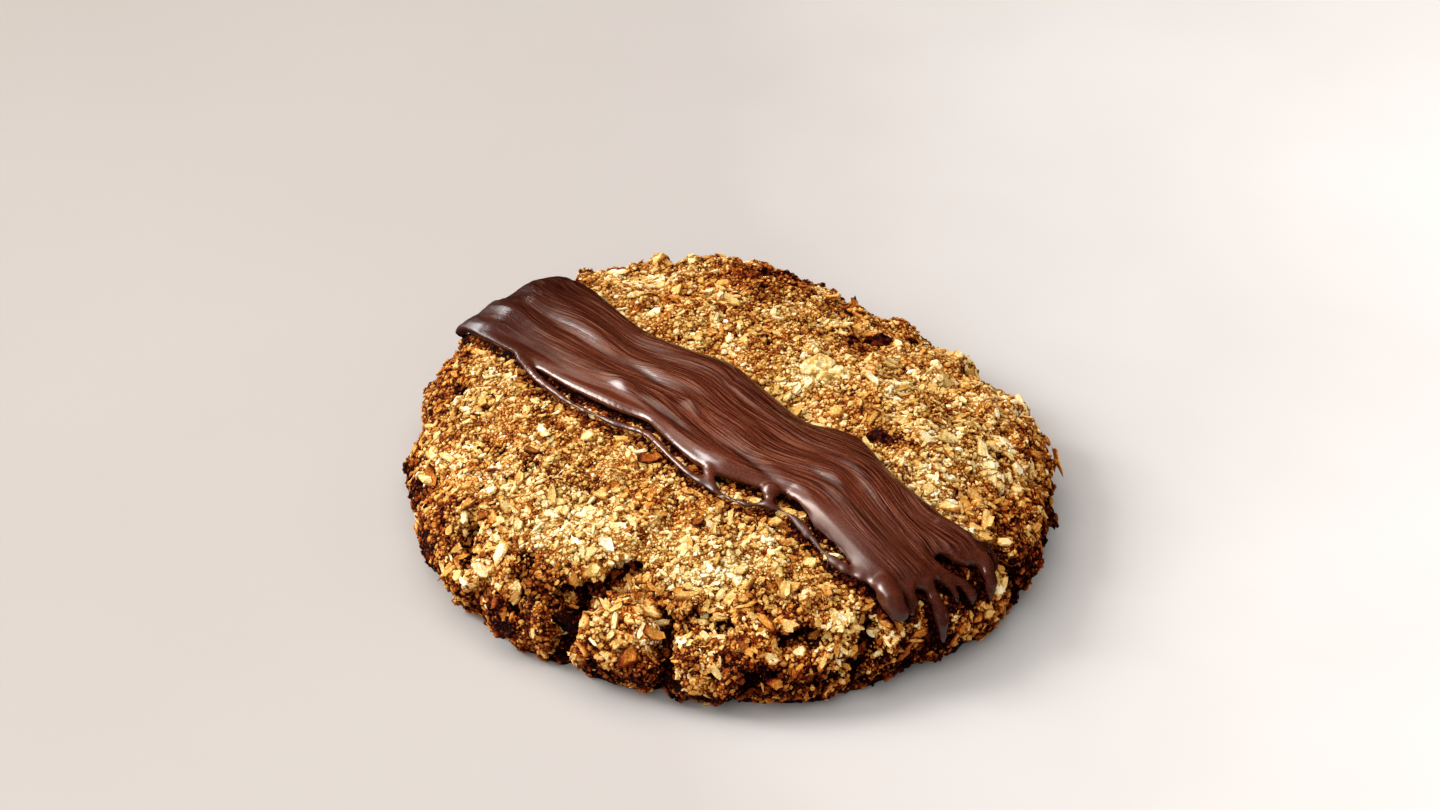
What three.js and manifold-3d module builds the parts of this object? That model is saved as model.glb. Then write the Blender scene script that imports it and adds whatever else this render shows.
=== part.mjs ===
// A round, hand-shaped oat and almond cookie with a broad band of dark chocolate spread across its top.
// Sizes are millimetres, +Z is up, and the cookie lies with its flat base on z = 0.
import * as THREE from "three";
import { ImprovedNoise } from "three/addons/math/ImprovedNoise.js";
import { mergeVertices } from "three/addons/utils/BufferGeometryUtils.js";
import Module from "manifold-3d";

// Cookie body
const THICKNESS = 14; // crown above the base
const BELLY_HEIGHT = 4.5; // height of the widest ring
const UNDERCUT = 2.5; // the base edge lies this far inside the widest ring
const SHOULDER_POWER = 4; // superellipse power of the section: a flat top that rolls over at the shoulder
const MEAN_RADIUS = 38.5;
// Radius of the widest ring at even headings, counter-clockwise from +X
const RIM_RADII = [39, 36, 34, 36.8, 39.8, 40.2, 39.6, 37.8, 36.4, 37.2, 37.4, 38.4, 39.5, 40.4, 41, 40];

// Relief of the dough
const LUMP = { size: 14, rise: 0.085, swell: 0.02 }; // broad unevenness, as shares of height and radius
// Clumps, lower on the top than on the wall; their mean height is taken off
const CRAG = { size: 5, rise: 2.2, top_share: 0.5, mean: 0.25, slice: 7 };
const CRUMB = { size: 2.3, rise: 0.7, slice: 3 };
// Fissures run through points of [heading in degrees, distance from the crown along the surface]
const FISSURES = [
  { through: [[-109, 31], [-114, 34], [-119, 36], [-117.5, 47]], half_width: 1.25, depth: 4.2 },
  { through: [[-104, 33], [-99, 38], [-100, 47]], half_width: 0.95, depth: 2.9 },
  { through: [[-147, 36.5], [-143, 38.5]], half_width: 1.5, depth: 3 },
  { through: [[-138, 40], [-138, 47]], half_width: 1.1, depth: 1.5 },
  { through: [[-133, 34], [-128, 40]], half_width: 1, depth: 1.5 },
  { through: [[-96, 35], [-90, 36.2]], half_width: 0.95, depth: 1.7 },
  { through: [[-80, 37.8], [-73, 36.8]], half_width: 0.95, depth: 1.7 },
  { through: [[-85, 41], [-88, 47]], half_width: 1, depth: 1.5 },
  { through: [[-65, 37.5], [-67, 44]], half_width: 1.2, depth: 2.4 },
  { through: [[-36, 37.5], [-33, 44]], half_width: 1.1, depth: 1.8 },
  { through: [[-167, 27.5], [-162, 30], [-154, 31]], half_width: 0.9, depth: 1.5 },
  { through: [[-165, 35.5], [-168, 40]], half_width: 1.1, depth: 1.7 },
  { through: [[-12, 35], [-9, 42]], half_width: 1, depth: 1.6 },
  { through: [[22, 34], [25, 46]], half_width: 1.1, depth: 2 },
  { through: [[63, 35], [60, 45]], half_width: 1.1, depth: 2.2 },
  { through: [[97, 36], [100, 46]], half_width: 1, depth: 1.8 },
  { through: [[166, 34], [170, 44]], half_width: 1.1, depth: 2 },
];
const JAG = { size: 1.3, shift: 0.55, overtone: 2.3 }; // the fissures zigzag
const CRUST_RINGS = 32; // mesh rings from the crown to the base edge
const WALL_FROM = { reach: 33, ring: 20, blend: 4 }; // rings lie closer together beyond this distance
const BASE_EASE = 4; // over this length above the base edge the relief turns level

// Oat and almond pieces that stand out of the dough
const FLAKE = { count: 104, length: [2.6, 4.8], slimness: [0.45, 0.75], height: 1.5, sunk: 0.1, tilt: 0.7 };
const FLAKE_FIELD = { clear: 0.9, cover: 0.5, above_base: 4.5 }; // they keep off the chocolate and the base
const FLAKE_SEED = 11;

// Chocolate band, in its own plan directions: u along the band and v across it to its left
const BAND_HEADING = -50;
const BAND_THICKNESS = 1.8;
const EDGE_THICKNESS = 0.95;
const SEAT_GAP = 0.3; // clearance between chocolate and dough
const BAND_FOLD = { waves: 3, depth: 0.22, ripple_size: 9, ripple_rise: 0.6, slice: 5 };
// The start is thinner and has three lobes over the rim, as [share across from -1 to 1, added thickness]
const START_SWELL = [
  [-1, -0.8],
  [-0.7, -0.7],
  [-0.42, -1.1],
  [-0.12, -0.95],
  [0.2, -1.1],
  [0.6, -0.4],
  [1, -0.5],
];
const SWELL_ALONG = [28, 37]; // comes in over these distances from the middle
const BAND_STEPS = { along: 42, across: 12 };
// Both edges of the band as [u, near edge v, far edge v]
const BAND_EDGES = [
  [-44, -10, 6.5],
  [-38, -10.3, 5.6],
  [-30, -11.8, 3.2],
  [-22, -12.5, 1.8],
  [-15, -12.8, 1.7],
  [-8, -11.2, 3.4],
  [-2, -9.7, 5.6],
  [4, -10.4, 4.8],
  [10, -9.7, 4.4],
  [15, -7, 6.9],
  [18, -5.4, 6.3],
  [23, -6.3, 4.8],
  [30, -7, 5.6],
  [37, -6.4, 7.8],
];
// Where the band starts and ends, as [share across from -1 to 1, u]
const BAND_START = [
  [-1, -38.4],
  [-0.75, -41],
  [-0.42, -37.6],
  [-0.12, -38.7],
  [0.2, -38],
  [0.6, -40.6],
  [1, -39],
];
const BAND_END = [
  [-1, 33.2],
  [-0.7, 34.3],
  [-0.3, 35],
  [-0.05, 35],
  [0.1, 34.4],
  [0.2, 32.7],
  [0.34, 32.7],
  [0.46, 34.4],
  [0.7, 35.4],
  [1, 34.8],
];
const END_ROUNDING = 1.2; // the band thins out over this length at both ends
// Drips that run on from the end of the band, as [u, v] points with radii at the root, the middle and the tip
const DRIPS = [
  { through: [[31, -4.6], [34.5, -6.6], [36.7, -6.4]], radii: [0.9, 1.25, 0.95] },
  { through: [[31.5, -3.2], [35.2, -4], [37.2, -5.1]], radii: [0.75, 0.7, 0.6] },
  { through: [[31, -0.8], [35.2, -1.3], [37.5, -1.6], [39.9, -2], [41.4, -2.4]], radii: [0.9, 0.7, 0.4] },
  { through: [[31.5, -0.6], [34.7, 0.3], [36.6, 1.2], [38.4, 1]], radii: [0.65, 0.45, 0.35] },
  { through: [[32, 0], [34.9, 1.3], [37.2, 2.8], [39.4, 2.5]], radii: [0.65, 0.5, 0.38] },
  { through: [[30, 4.2], [33.6, 5.5], [35.8, 5.8], [37.7, 5.5], [39.5, 4.8]], radii: [1, 0.9, 0.5] },
  { through: [[31.5, 5], [33.8, 7], [35.4, 7.9], [37.3, 7.1]], radii: [0.65, 0.45, 0.35] },
];
// A thin bead that left the band's near edge and joins it again at its end
const BEAD = {
  through: [
    [-25.5, -10.6], [-20, -13.6], [-15, -14.6], [-11, -14.6], [-7, -13.8], [-3.5, -12.8], [0, -11.7],
    [5, -11.9], [9, -11.8], [13, -11], [16.5, -9.8], [18.4, -7.9], [22.5, -7.7], [28, -8.3], [32, -7],
    [34, -5.4],
  ],
  radii: [0.45, 0.4, 0.5],
};
// Short dribbles between the band's near edge and the bead
const DRIBBLES = [
  { through: [[9, -9.2], [10.8, -10.6], [12.6, -10.8]], radii: [0.6, 0.6, 0.45] },
  { through: [[16.2, -6.2], [17, -7.4], [18.2, -8]], radii: [0.55, 0.55, 0.5] },
];
const STRAND = { sides: 7, step: 1.75, wobble: 0.35, wobble_size: 4, probe: 0.01, tip: 0.45 };

const wasm = await Module();
wasm.setup();
const noise = new ImprovedNoise();
const { clamp, degToRad, lerp, seededRandom, smoothstep } = THREE.MathUtils;

// A smooth curve through rows of [position, value, value...]; wrap joins its ends.
function smoothTable(rows, wrap = false) {
  const width = rows[0].length - 1;
  const table = new THREE.CubicInterpolant(
    rows.map(([position]) => position),
    rows.flatMap(([, ...values]) => values),
    width,
  );
  if (wrap) table.settings = { endingStart: THREE.WrapAroundEnding, endingEnd: THREE.WrapAroundEnding };
  return (position) => Array.from(table.evaluate(position));
}

// A closed geometry as a solid for joining.
function solidOf(geometry) {
  const bare = geometry.clone();
  bare.deleteAttribute("normal");
  bare.deleteAttribute("uv");
  const merged = mergeVertices(bare);
  return new wasm.Manifold(
    new wasm.Mesh({
      numProp: 3,
      vertProperties: merged.attributes.position.array,
      triVerts: new Uint32Array(merged.index.array),
    }),
  );
}

function geometryOf(solid) {
  const mesh = solid.getMesh();
  const geometry = new THREE.BufferGeometry();
  geometry.setAttribute("position", new THREE.BufferAttribute(mesh.vertProperties, 3));
  geometry.setIndex(new THREE.BufferAttribute(mesh.triVerts, 1));
  geometry.computeVertexNormals();
  return geometry;
}

// Moves every vertex of a geometry to place(vertex).
function reshape(geometry, place) {
  const position = geometry.getAttribute("position");
  const vertex = new THREE.Vector3();
  for (let i = 0; i < position.count; i++) {
    const moved = place(vertex.fromBufferAttribute(position, i));
    position.setXYZ(i, moved.x, moved.y, moved.z);
  }
  return geometry;
}

// Half section of the crust: x is the distance from the axis at the mean radius, y the height.
class CrustSection extends THREE.Curve {
  getPoint(t, target = new THREE.Vector2()) {
    const belly_at = 0.85;
    if (t < belly_at) {
      const angle = (Math.PI / 2) * (t / belly_at) ** 2;
      return target.set(
        MEAN_RADIUS * Math.sin(angle) ** (2 / SHOULDER_POWER),
        BELLY_HEIGHT + (THICKNESS - BELLY_HEIGHT) * Math.cos(angle),
      );
    }
    const drop = (t - belly_at) / (1 - belly_at);
    return target.set(MEAN_RADIUS - UNDERCUT * drop ** 2, BELLY_HEIGHT * (1 - drop));
  }
}

const section = new CrustSection();
const SECTION_LENGTH = section.getLength();
const rimRadius = smoothTable([...RIM_RADII, RIM_RADII[0]].map((radius, i) => [i, radius]), true);

// The crust is mapped from a flat plan: a plan point's heading is kept, and its distance from the middle
// becomes the distance from the crown along the surface. This is the smooth crust, with no crumb on it.
function crustPoint(plan) {
  const turn = (plan.angle() / (2 * Math.PI)) * RIM_RADII.length;
  const reach = clamp(plan.length() / SECTION_LENGTH, 0, 1);
  const cut = section.getPointAt(reach);
  const radius = (cut.x / MEAN_RADIUS) * rimRadius(turn)[0];
  const x = radius * Math.cos(plan.angle());
  const y = radius * Math.sin(plan.angle());
  const lump = noise.noise(x / LUMP.size, y / LUMP.size, cut.y / LUMP.size);
  return new THREE.Vector3(
    x * (1 + LUMP.swell * lump),
    y * (1 + LUMP.swell * lump),
    cut.y * (1 + LUMP.rise * lump),
  );
}

function crustNormal(plan) {
  const probe = 0.4;
  const slope = (dx, dy) => {
    const ahead = crustPoint(new THREE.Vector2(plan.x + dx, plan.y + dy));
    return ahead.sub(crustPoint(new THREE.Vector2(plan.x - dx, plan.y - dy)));
  };
  return slope(probe, 0).cross(slope(0, probe)).normalize();
}

function planAt(heading, reach) {
  return new THREE.Vector2(reach, 0).rotateAround(new THREE.Vector2(), degToRad(heading));
}

function bandPlan(u, v) {
  return new THREE.Vector2(u, v).rotateAround(new THREE.Vector2(), degToRad(BAND_HEADING));
}

function distanceToPath(plan, path) {
  let nearest = Infinity;
  for (let i = 1; i < path.length; i++) {
    const along = path[i].clone().sub(path[i - 1]);
    const share = clamp(plan.clone().sub(path[i - 1]).dot(along) / along.lengthSq(), 0, 1);
    nearest = Math.min(nearest, path[i - 1].clone().addScaledVector(along, share).distanceTo(plan));
  }
  return nearest;
}

const bandEdges = smoothTable(BAND_EDGES);
const bandStart = smoothTable(BAND_START);
const bandEnd = smoothTable(BAND_END);
const startSwell = smoothTable(START_SWELL);
const strands = [...DRIPS, BEAD, ...DRIBBLES].map(({ through, radii }) => ({
  path: through.map(([u, v]) => bandPlan(u, v)),
  radii,
}));

// 1 under the chocolate and close to it, falling to 0 a little further out.
function chocolateCover(plan) {
  const fade = [0.4, 1.8];
  const { x: u, y: v } = plan.clone().rotateAround(new THREE.Vector2(), -degToRad(BAND_HEADING));
  const [near, far] = bandEdges(clamp(u, BAND_EDGES[0][0], BAND_EDGES.at(-1)[0]));
  const beyond = Math.max(near - v, v - far, u - BAND_END[2][1], BAND_START[1][1] - u, 0);
  let cover = 1 - smoothstep(beyond, ...fade);
  for (const { path, radii } of strands) {
    const outside = distanceToPath(plan, path) - Math.max(...radii);
    cover = Math.max(cover, 1 - smoothstep(outside, ...fade));
  }
  return cover;
}

const fissures = FISSURES.map(({ through, half_width, depth }) => ({
  path: through.map(([heading, reach]) => planAt(heading, reach)),
  half_width,
  depth,
}));

// Shifts a plan point to and fro, so that a straight path through such points zigzags.
function jagged({ x, y }) {
  const { size, shift, overtone } = JAG;
  const sway = (at) => shift * (Math.sin(at / size) + Math.sin((overtone * at) / size + 1) / 2);
  return new THREE.Vector2(x + sway(y), y + sway(x));
}

// Height of the dough's clumps, crumb and fissures over the smooth crust.
function relief(plan) {
  const { x, y, z } = crustPoint(plan);
  const { reach: from, blend } = WALL_FROM;
  const wall = smoothstep(plan.length(), from - blend, from + blend);
  const clump = Math.abs(noise.noise(x / CRAG.size, y / CRAG.size, z / CRAG.size + CRAG.slice)) - CRAG.mean;
  const crumb = noise.noise(x / CRUMB.size, y / CRUMB.size, z / CRUMB.size + CRUMB.slice);
  let height = CRAG.rise * lerp(CRAG.top_share, 1, wall) * clump + CRUMB.rise * crumb;
  const bent = jagged(plan);
  for (const { path, half_width, depth } of fissures) {
    height -= depth * Math.exp(-((distanceToPath(bent, path) / half_width) ** 2));
  }
  return height * (1 - chocolateCover(plan));
}

// The craggy surface. Near the base edge the relief works sideways only, so the edge stays on the floor.
function doughPoint(plan) {
  const normal = crustNormal(plan);
  normal.z *= 1 - smoothstep(plan.length(), SECTION_LENGTH - BASE_EASE, SECTION_LENGTH);
  return crustPoint(plan).addScaledVector(normal, relief(plan));
}

// Rings of 6, 12, 18... points round the crown, spread over the dough and closed by the flat base.
function doughGeometry() {
  const ringReach = (ring) =>
    ring < WALL_FROM.ring
      ? (ring / WALL_FROM.ring) * WALL_FROM.reach
      : lerp(WALL_FROM.reach, SECTION_LENGTH, (ring - WALL_FROM.ring) / (CRUST_RINGS - WALL_FROM.ring));
  const points = [doughPoint(new THREE.Vector2(0, 0))];
  for (let ring = 1; ring <= CRUST_RINGS; ring++) {
    for (let i = 0; i < 6 * ring; i++) points.push(doughPoint(planAt((60 * i) / ring, ringReach(ring))));
  }
  const at = (ring, i) => (ring === 0 ? 0 : 1 + 3 * ring * (ring - 1) + (i % (6 * ring)));
  const triangles = [];
  for (let ring = 1; ring <= CRUST_RINGS; ring++) {
    for (let side = 0; side < 6; side++) {
      const [outer, inner] = [side * ring, side * (ring - 1)];
      for (let i = 0; i < ring; i++) {
        triangles.push(at(ring, outer + i), at(ring, outer + i + 1), at(ring - 1, inner + i));
        if (i > 0) triangles.push(at(ring, outer + i), at(ring - 1, inner + i), at(ring - 1, inner + i - 1));
      }
    }
  }
  const base_middle = points.push(new THREE.Vector3(0, 0, 0)) - 1;
  for (let i = 0; i < 6 * CRUST_RINGS; i++) {
    triangles.push(at(CRUST_RINGS, i + 1), at(CRUST_RINGS, i), base_middle);
  }
  return new THREE.BufferGeometry().setFromPoints(points).setIndex(triangles);
}

// An uneven oat or almond piece, bedded in the dough at a plan point.
function flakeSolid(plan) {
  const length = lerp(...FLAKE.length, seededRandom());
  const width = length * lerp(...FLAKE.slimness, seededRandom());
  const normal = crustNormal(plan);
  const turn = new THREE.Quaternion().setFromAxisAngle(normal, seededRandom() * 2 * Math.PI);
  const tilt = new THREE.Quaternion().setFromAxisAngle(
    new THREE.Vector3(1, 0, 0).applyQuaternion(turn),
    (seededRandom() - 0.5) * FLAKE.tilt,
  );
  const upright = new THREE.Quaternion().setFromUnitVectors(new THREE.Vector3(0, 0, 1), normal);
  const place = new THREE.Matrix4().compose(
    doughPoint(plan).addScaledVector(normal, -FLAKE.sunk),
    tilt.multiply(turn).multiply(upright),
    new THREE.Vector3(length / 2, width / 2, FLAKE.height / 2),
  );
  return solidOf(new THREE.IcosahedronGeometry(1, 0).applyMatrix4(place));
}

function cookieGeometry() {
  let cookie = solidOf(doughGeometry());
  const golden_angle = 180 * (3 - Math.sqrt(5));
  const outermost = SECTION_LENGTH - FLAKE_FIELD.above_base;
  seededRandom(FLAKE_SEED);
  for (let i = 0; i < FLAKE.count; i++) {
    const plan = planAt(i * golden_angle, outermost * Math.sqrt((i + 0.5) / FLAKE.count));
    const girth = FLAKE.length[1] / 2 + FLAKE_FIELD.clear;
    const around = [0, 60, 120, 180, 240, 300].map((turn) => planAt(turn, girth));
    if (around.some((edge) => chocolateCover(edge.add(plan)) > FLAKE_FIELD.cover)) continue;
    cookie = cookie.add(flakeSolid(plan));
  }
  return geometryOf(cookie);
}

// The spread band: a sheet with rounded edges and broad lengthwise folds that follows the crust.
function bandSolid() {
  const { along, across } = BAND_STEPS;
  const sheet = reshape(new THREE.BoxGeometry(1, 1, 1, along, across, 1), ({ x, y, z }) => {
    const side = 2 * y;
    const [start, end] = [bandStart(side)[0], bandEnd(side)[0]];
    const u = lerp(start, end, x + 0.5);
    const [near, far] = bandEdges(u);
    const v = lerp(near, far, y + 0.5);
    const plan = bandPlan(u, v);
    const from_end = clamp(Math.min(u - start, end - u) / END_ROUNDING, 0, 1);
    const rounding = Math.sqrt(1 - side ** 6) * Math.sqrt(1 - (1 - from_end) ** 2);
    const { waves, depth, ripple_size, ripple_rise, slice } = BAND_FOLD;
    const fold = depth * Math.cos(side * Math.PI * waves + u / ripple_size);
    const ripple = ripple_rise * noise.noise(u / ripple_size, v / ripple_size, slice);
    const swollen = startSwell(side)[0] * smoothstep(-u, ...SWELL_ALONG);
    const body = (BAND_THICKNESS - EDGE_THICKNESS + fold + ripple + swollen) * rounding + EDGE_THICKNESS;
    return crustPoint(plan).addScaledVector(crustNormal(plan), SEAT_GAP + (z > 0 ? body : 0));
  });
  return solidOf(sheet);
}

// A round, uneven strand of chocolate that lies on the crust along a plan path and thins towards its tip.
function strandSolid({ path, radii }) {
  const curve = new THREE.SplineCurve(path);
  const length = curve.getLength();
  const thickness = smoothTable(radii.map((radius, i) => [i / (radii.length - 1), radius]));
  const tube = new THREE.CylinderGeometry(1, 1, 1, STRAND.sides, Math.ceil(length / STRAND.step));
  reshape(tube, ({ x, y, z }) => {
    const share = clamp(y + 0.5, 0, 1);
    const plan = curve.getPointAt(share);
    const normal = crustNormal(plan);
    const ahead = crustPoint(curve.getPointAt(Math.min(share + STRAND.probe, 1)));
    ahead.sub(crustPoint(curve.getPointAt(Math.max(share - STRAND.probe, 0))));
    const sideways = new THREE.Vector3().crossVectors(ahead, normal).normalize();
    const wobble = STRAND.wobble * noise.noise((share * length) / STRAND.wobble_size, path[0].x, path[0].y);
    const radius = thickness(share)[0] * (1 + wobble);
    const tip = share === 1 ? STRAND.tip : 1;
    return crustPoint(plan)
      .addScaledVector(normal, SEAT_GAP + radius * (1 + z * tip))
      .addScaledVector(sideways, x * radius * tip);
  });
  return solidOf(tube);
}

function chocolateGeometry() {
  return geometryOf(strands.reduce((joined, strand) => joined.add(strandSolid(strand)), bandSolid()));
}

function piece(name, geometry, color, roughness) {
  const mesh = new THREE.Mesh(geometry, new THREE.MeshStandardMaterial({ color, roughness, metalness: 0 }));
  mesh.name = name;
  return mesh;
}

const part = new THREE.Group();
part.add(piece("cookie", cookieGeometry(), "#c08a45", 0.9));
part.add(piece("chocolate", chocolateGeometry(), "#5a2b1b", 0.4));
const middle = new THREE.Box3().setFromObject(part).getCenter(new THREE.Vector3());
part.position.set(-middle.x, -middle.y, 0);

export default part;
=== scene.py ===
"""Looks of a hand-shaped oat and almond cookie with a combed band of dark chocolate.

The cookie's solid is rebuilt as a granular body and strewn with crumbs, chopped nut and oat flakes. The
chocolate's solid is rebuilt as a brushed, dripping spread. Sizes are millimetres until a mesh is made.
"""

import logging
import math
from dataclasses import dataclass
from enum import Enum
from typing import Any

import bmesh
import bpy
import numpy as np
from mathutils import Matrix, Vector, noise
from mathutils.bvhtree import BVHTree

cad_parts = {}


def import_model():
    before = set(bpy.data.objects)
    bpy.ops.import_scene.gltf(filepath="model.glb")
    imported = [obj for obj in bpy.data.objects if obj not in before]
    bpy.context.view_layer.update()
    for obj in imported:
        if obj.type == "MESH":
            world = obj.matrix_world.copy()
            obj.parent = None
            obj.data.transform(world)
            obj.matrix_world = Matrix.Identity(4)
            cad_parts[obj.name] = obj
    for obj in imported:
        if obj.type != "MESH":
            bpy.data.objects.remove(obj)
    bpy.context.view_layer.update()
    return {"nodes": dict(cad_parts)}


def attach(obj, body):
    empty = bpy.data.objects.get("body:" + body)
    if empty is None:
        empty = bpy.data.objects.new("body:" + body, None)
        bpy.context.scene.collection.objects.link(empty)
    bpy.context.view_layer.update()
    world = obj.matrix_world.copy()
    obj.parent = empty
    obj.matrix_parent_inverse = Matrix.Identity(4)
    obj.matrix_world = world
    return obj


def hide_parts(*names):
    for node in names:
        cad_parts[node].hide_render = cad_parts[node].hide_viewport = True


LOG = logging.getLogger("cookie")
MM = 0.001
BODY = "root"
BAND_HEADING_DEG = -50.0
MERGE_DISTANCE = 0.001
# Numbers that scatter a cell's place into a number of its own
CELL_SCATTER = (12.99, 78.23, 37.72)
CELL_STRETCH = 43758.55
# How steeply a cell rises from its joints
CELL_STEEPNESS = 1.6
# Sockets of a colour mix, whose names its other kinds of mix share
MIX_SHARE = 0
MIX_FIRST = 6
MIX_SECOND = 7
MIX_RESULT = 2
Pair = tuple[float, float]
Triple = tuple[float, float, float]


def linear(hex_colour: str) -> tuple[float, float, float, float]:
    """Turn an sRGB hex colour into the linear colour that shaders read.

    Args:
        hex_colour: Six hex digits after a hash.

    Returns:
        Linear red, green and blue with an alpha of one.
    """
    parts = [int(hex_colour[i : i + 2], 16) / 255 for i in (1, 3, 5)]
    red, green, blue = (c / 12.92 if c <= 0.04045 else ((c + 0.055) / 1.055) ** 2.4 for c in parts)
    return red, green, blue, 1.0


def new_material(name: str) -> tuple[bpy.types.Material, bpy.types.NodeTree]:
    """Start a material without nodes.

    Args:
        name: Name of the finish.

    Returns:
        The material and its node tree.
    """
    material = bpy.data.materials.new(name)
    material.use_nodes = True
    material.node_tree.nodes.clear()
    return material, material.node_tree


def add_node(
    tree: bpy.types.NodeTree, kind: str, links: dict[Any, Any] | None = None, **settings: Any
) -> Any:
    """Add one shader node with its settings, socket values and links.

    Args:
        tree: The material's node tree.
        kind: Blender's identifier of the node.
        links: Input socket name or index to an output socket, or to a constant value.
        settings: Properties of the node itself.

    Returns:
        The new node.
    """
    node = tree.nodes.new(kind)
    for name, value in settings.items():
        setattr(node, name, value)
    for name, value in (links or {}).items():
        if isinstance(value, bpy.types.NodeSocket):
            tree.links.new(value, node.inputs[name])
        else:
            node.inputs[name].default_value = value
    return node


def set_ramp(ramp: bpy.types.ColorRamp, positions: tuple[float, ...], colours: tuple[str, ...]) -> None:
    """Fill a colour ramp.

    Args:
        ramp: The ramp of a colour ramp node.
        positions: Places of the stops, in rising order.
        colours: Hex colour of each stop.
    """
    while len(ramp.elements) < len(positions):
        ramp.elements.new(1.0)
    for element, position, colour in zip(ramp.elements, positions, colours):
        element.position = position
        element.color = linear(colour)


def noise_field(points: np.ndarray, size: Any, offset: float = 0.0) -> np.ndarray:
    """Sample smooth noise at many points.

    Args:
        points: Rows of x, y, z.
        size: Width of the noise's features, one for all axes or one for each.
        offset: Shift that makes one field differ from the next.

    Returns:
        One value for each point, from about -1 to 1.
    """
    return np.array([noise.noise(Vector(p)) for p in points / np.asarray(size) + offset])


def cell_field(points: np.ndarray, size: float, offset: float = 0.0) -> tuple[np.ndarray, np.ndarray]:
    """Sample a packing of rounded cells, as grains lie against each other.

    Args:
        points: Rows of x, y, z.
        size: Mean width of a cell.
        offset: Shift that makes one packing differ from the next.

    Returns:
        Height of each point in its cell, about 1 in the middle and 0 at the joints, and the cell's own number
        from 0 to 1.
    """
    rise = np.empty(len(points))
    number = np.empty(len(points))
    for i, point in enumerate(points / size + offset):
        distances, middles = noise.voronoi(Vector(point))
        rise[i] = distances[1] - distances[0]
        mixed = sum(part * factor for part, factor in zip(middles[0], CELL_SCATTER))
        number[i] = math.sin(mixed) * CELL_STRETCH % 1.0
    return np.clip(rise * CELL_STEEPNESS, 0.0, 1.0), number


def smoothstep(low: float, high: float, value: np.ndarray) -> np.ndarray:
    """Rise smoothly from 0 at low to 1 at high.

    Args:
        low: Value at which the step starts.
        high: Value at which the step ends.
        value: Values to map.

    Returns:
        The mapped values.
    """
    share = np.clip((value - low) / (high - low), 0.0, 1.0)
    return share * share * (3.0 - 2.0 * share)


def between(ends: Pair, share: np.ndarray) -> np.ndarray:
    """Go from the first of two values to the second as a share goes from 0 to 1."""
    return ends[0] + (ends[1] - ends[0]) * share


def bell(value: np.ndarray, middle: float, reach: float) -> np.ndarray:
    """Give a soft hump that is 1 at the middle and fades over the reach."""
    return np.exp(-(((value - middle) / reach) ** 2))


def band_axes() -> tuple[np.ndarray, np.ndarray]:
    """Give the plan directions along the chocolate's stroke and across it, to its far side."""
    turn = math.radians(BAND_HEADING_DEG)
    return np.array([math.cos(turn), math.sin(turn)]), np.array([-math.sin(turn), math.cos(turn)])


def vertex_array(mesh: bpy.types.Mesh, normals: bool = False) -> np.ndarray:
    """Read a mesh's vertices.

    Args:
        mesh: The mesh to read.
        normals: Read the normals and not the places.

    Returns:
        Rows of x, y, z, in millimetres for places.
    """
    rows = np.empty(len(mesh.vertices) * 3)
    if normals:
        mesh.vertex_normals.foreach_get("vector", rows)
        return rows.reshape(-1, 3)
    mesh.vertices.foreach_get("co", rows)
    return rows.reshape(-1, 3) / MM


def move_vertices(mesh: bpy.types.Mesh, places: np.ndarray) -> None:
    """Put a mesh's vertices at new places, given in millimetres."""
    mesh.vertices.foreach_set("co", (places * MM).ravel())
    mesh.update()


def store_values(mesh: bpy.types.Mesh, name: str, values: np.ndarray) -> None:
    """Store one number or one vector for each vertex as a named attribute.

    Args:
        mesh: The mesh that gets the attribute.
        name: Name that materials read it by.
        values: One number, or a row of three, for each vertex.
    """
    vector = values.ndim == 2
    attribute = mesh.attributes.new(name, "FLOAT_VECTOR" if vector else "FLOAT", "POINT")
    attribute.data.foreach_set("vector" if vector else "value", values.astype(np.float32).ravel())


def add_piece(name: str, mesh: bpy.types.Mesh, material: bpy.types.Material) -> bpy.types.Object:
    """Make a mesh a piece of the object that rides on its only body.

    Args:
        name: Name of the piece.
        mesh: Its mesh, in place.
        material: Its finish.

    Returns:
        The new object.
    """
    piece = bpy.data.objects.new(name, mesh)
    bpy.context.scene.collection.objects.link(piece)
    mesh.materials.clear()
    mesh.materials.append(material)
    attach(piece, BODY)
    LOG.info("%s: %d faces", name, len(mesh.polygons))
    return piece


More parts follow.
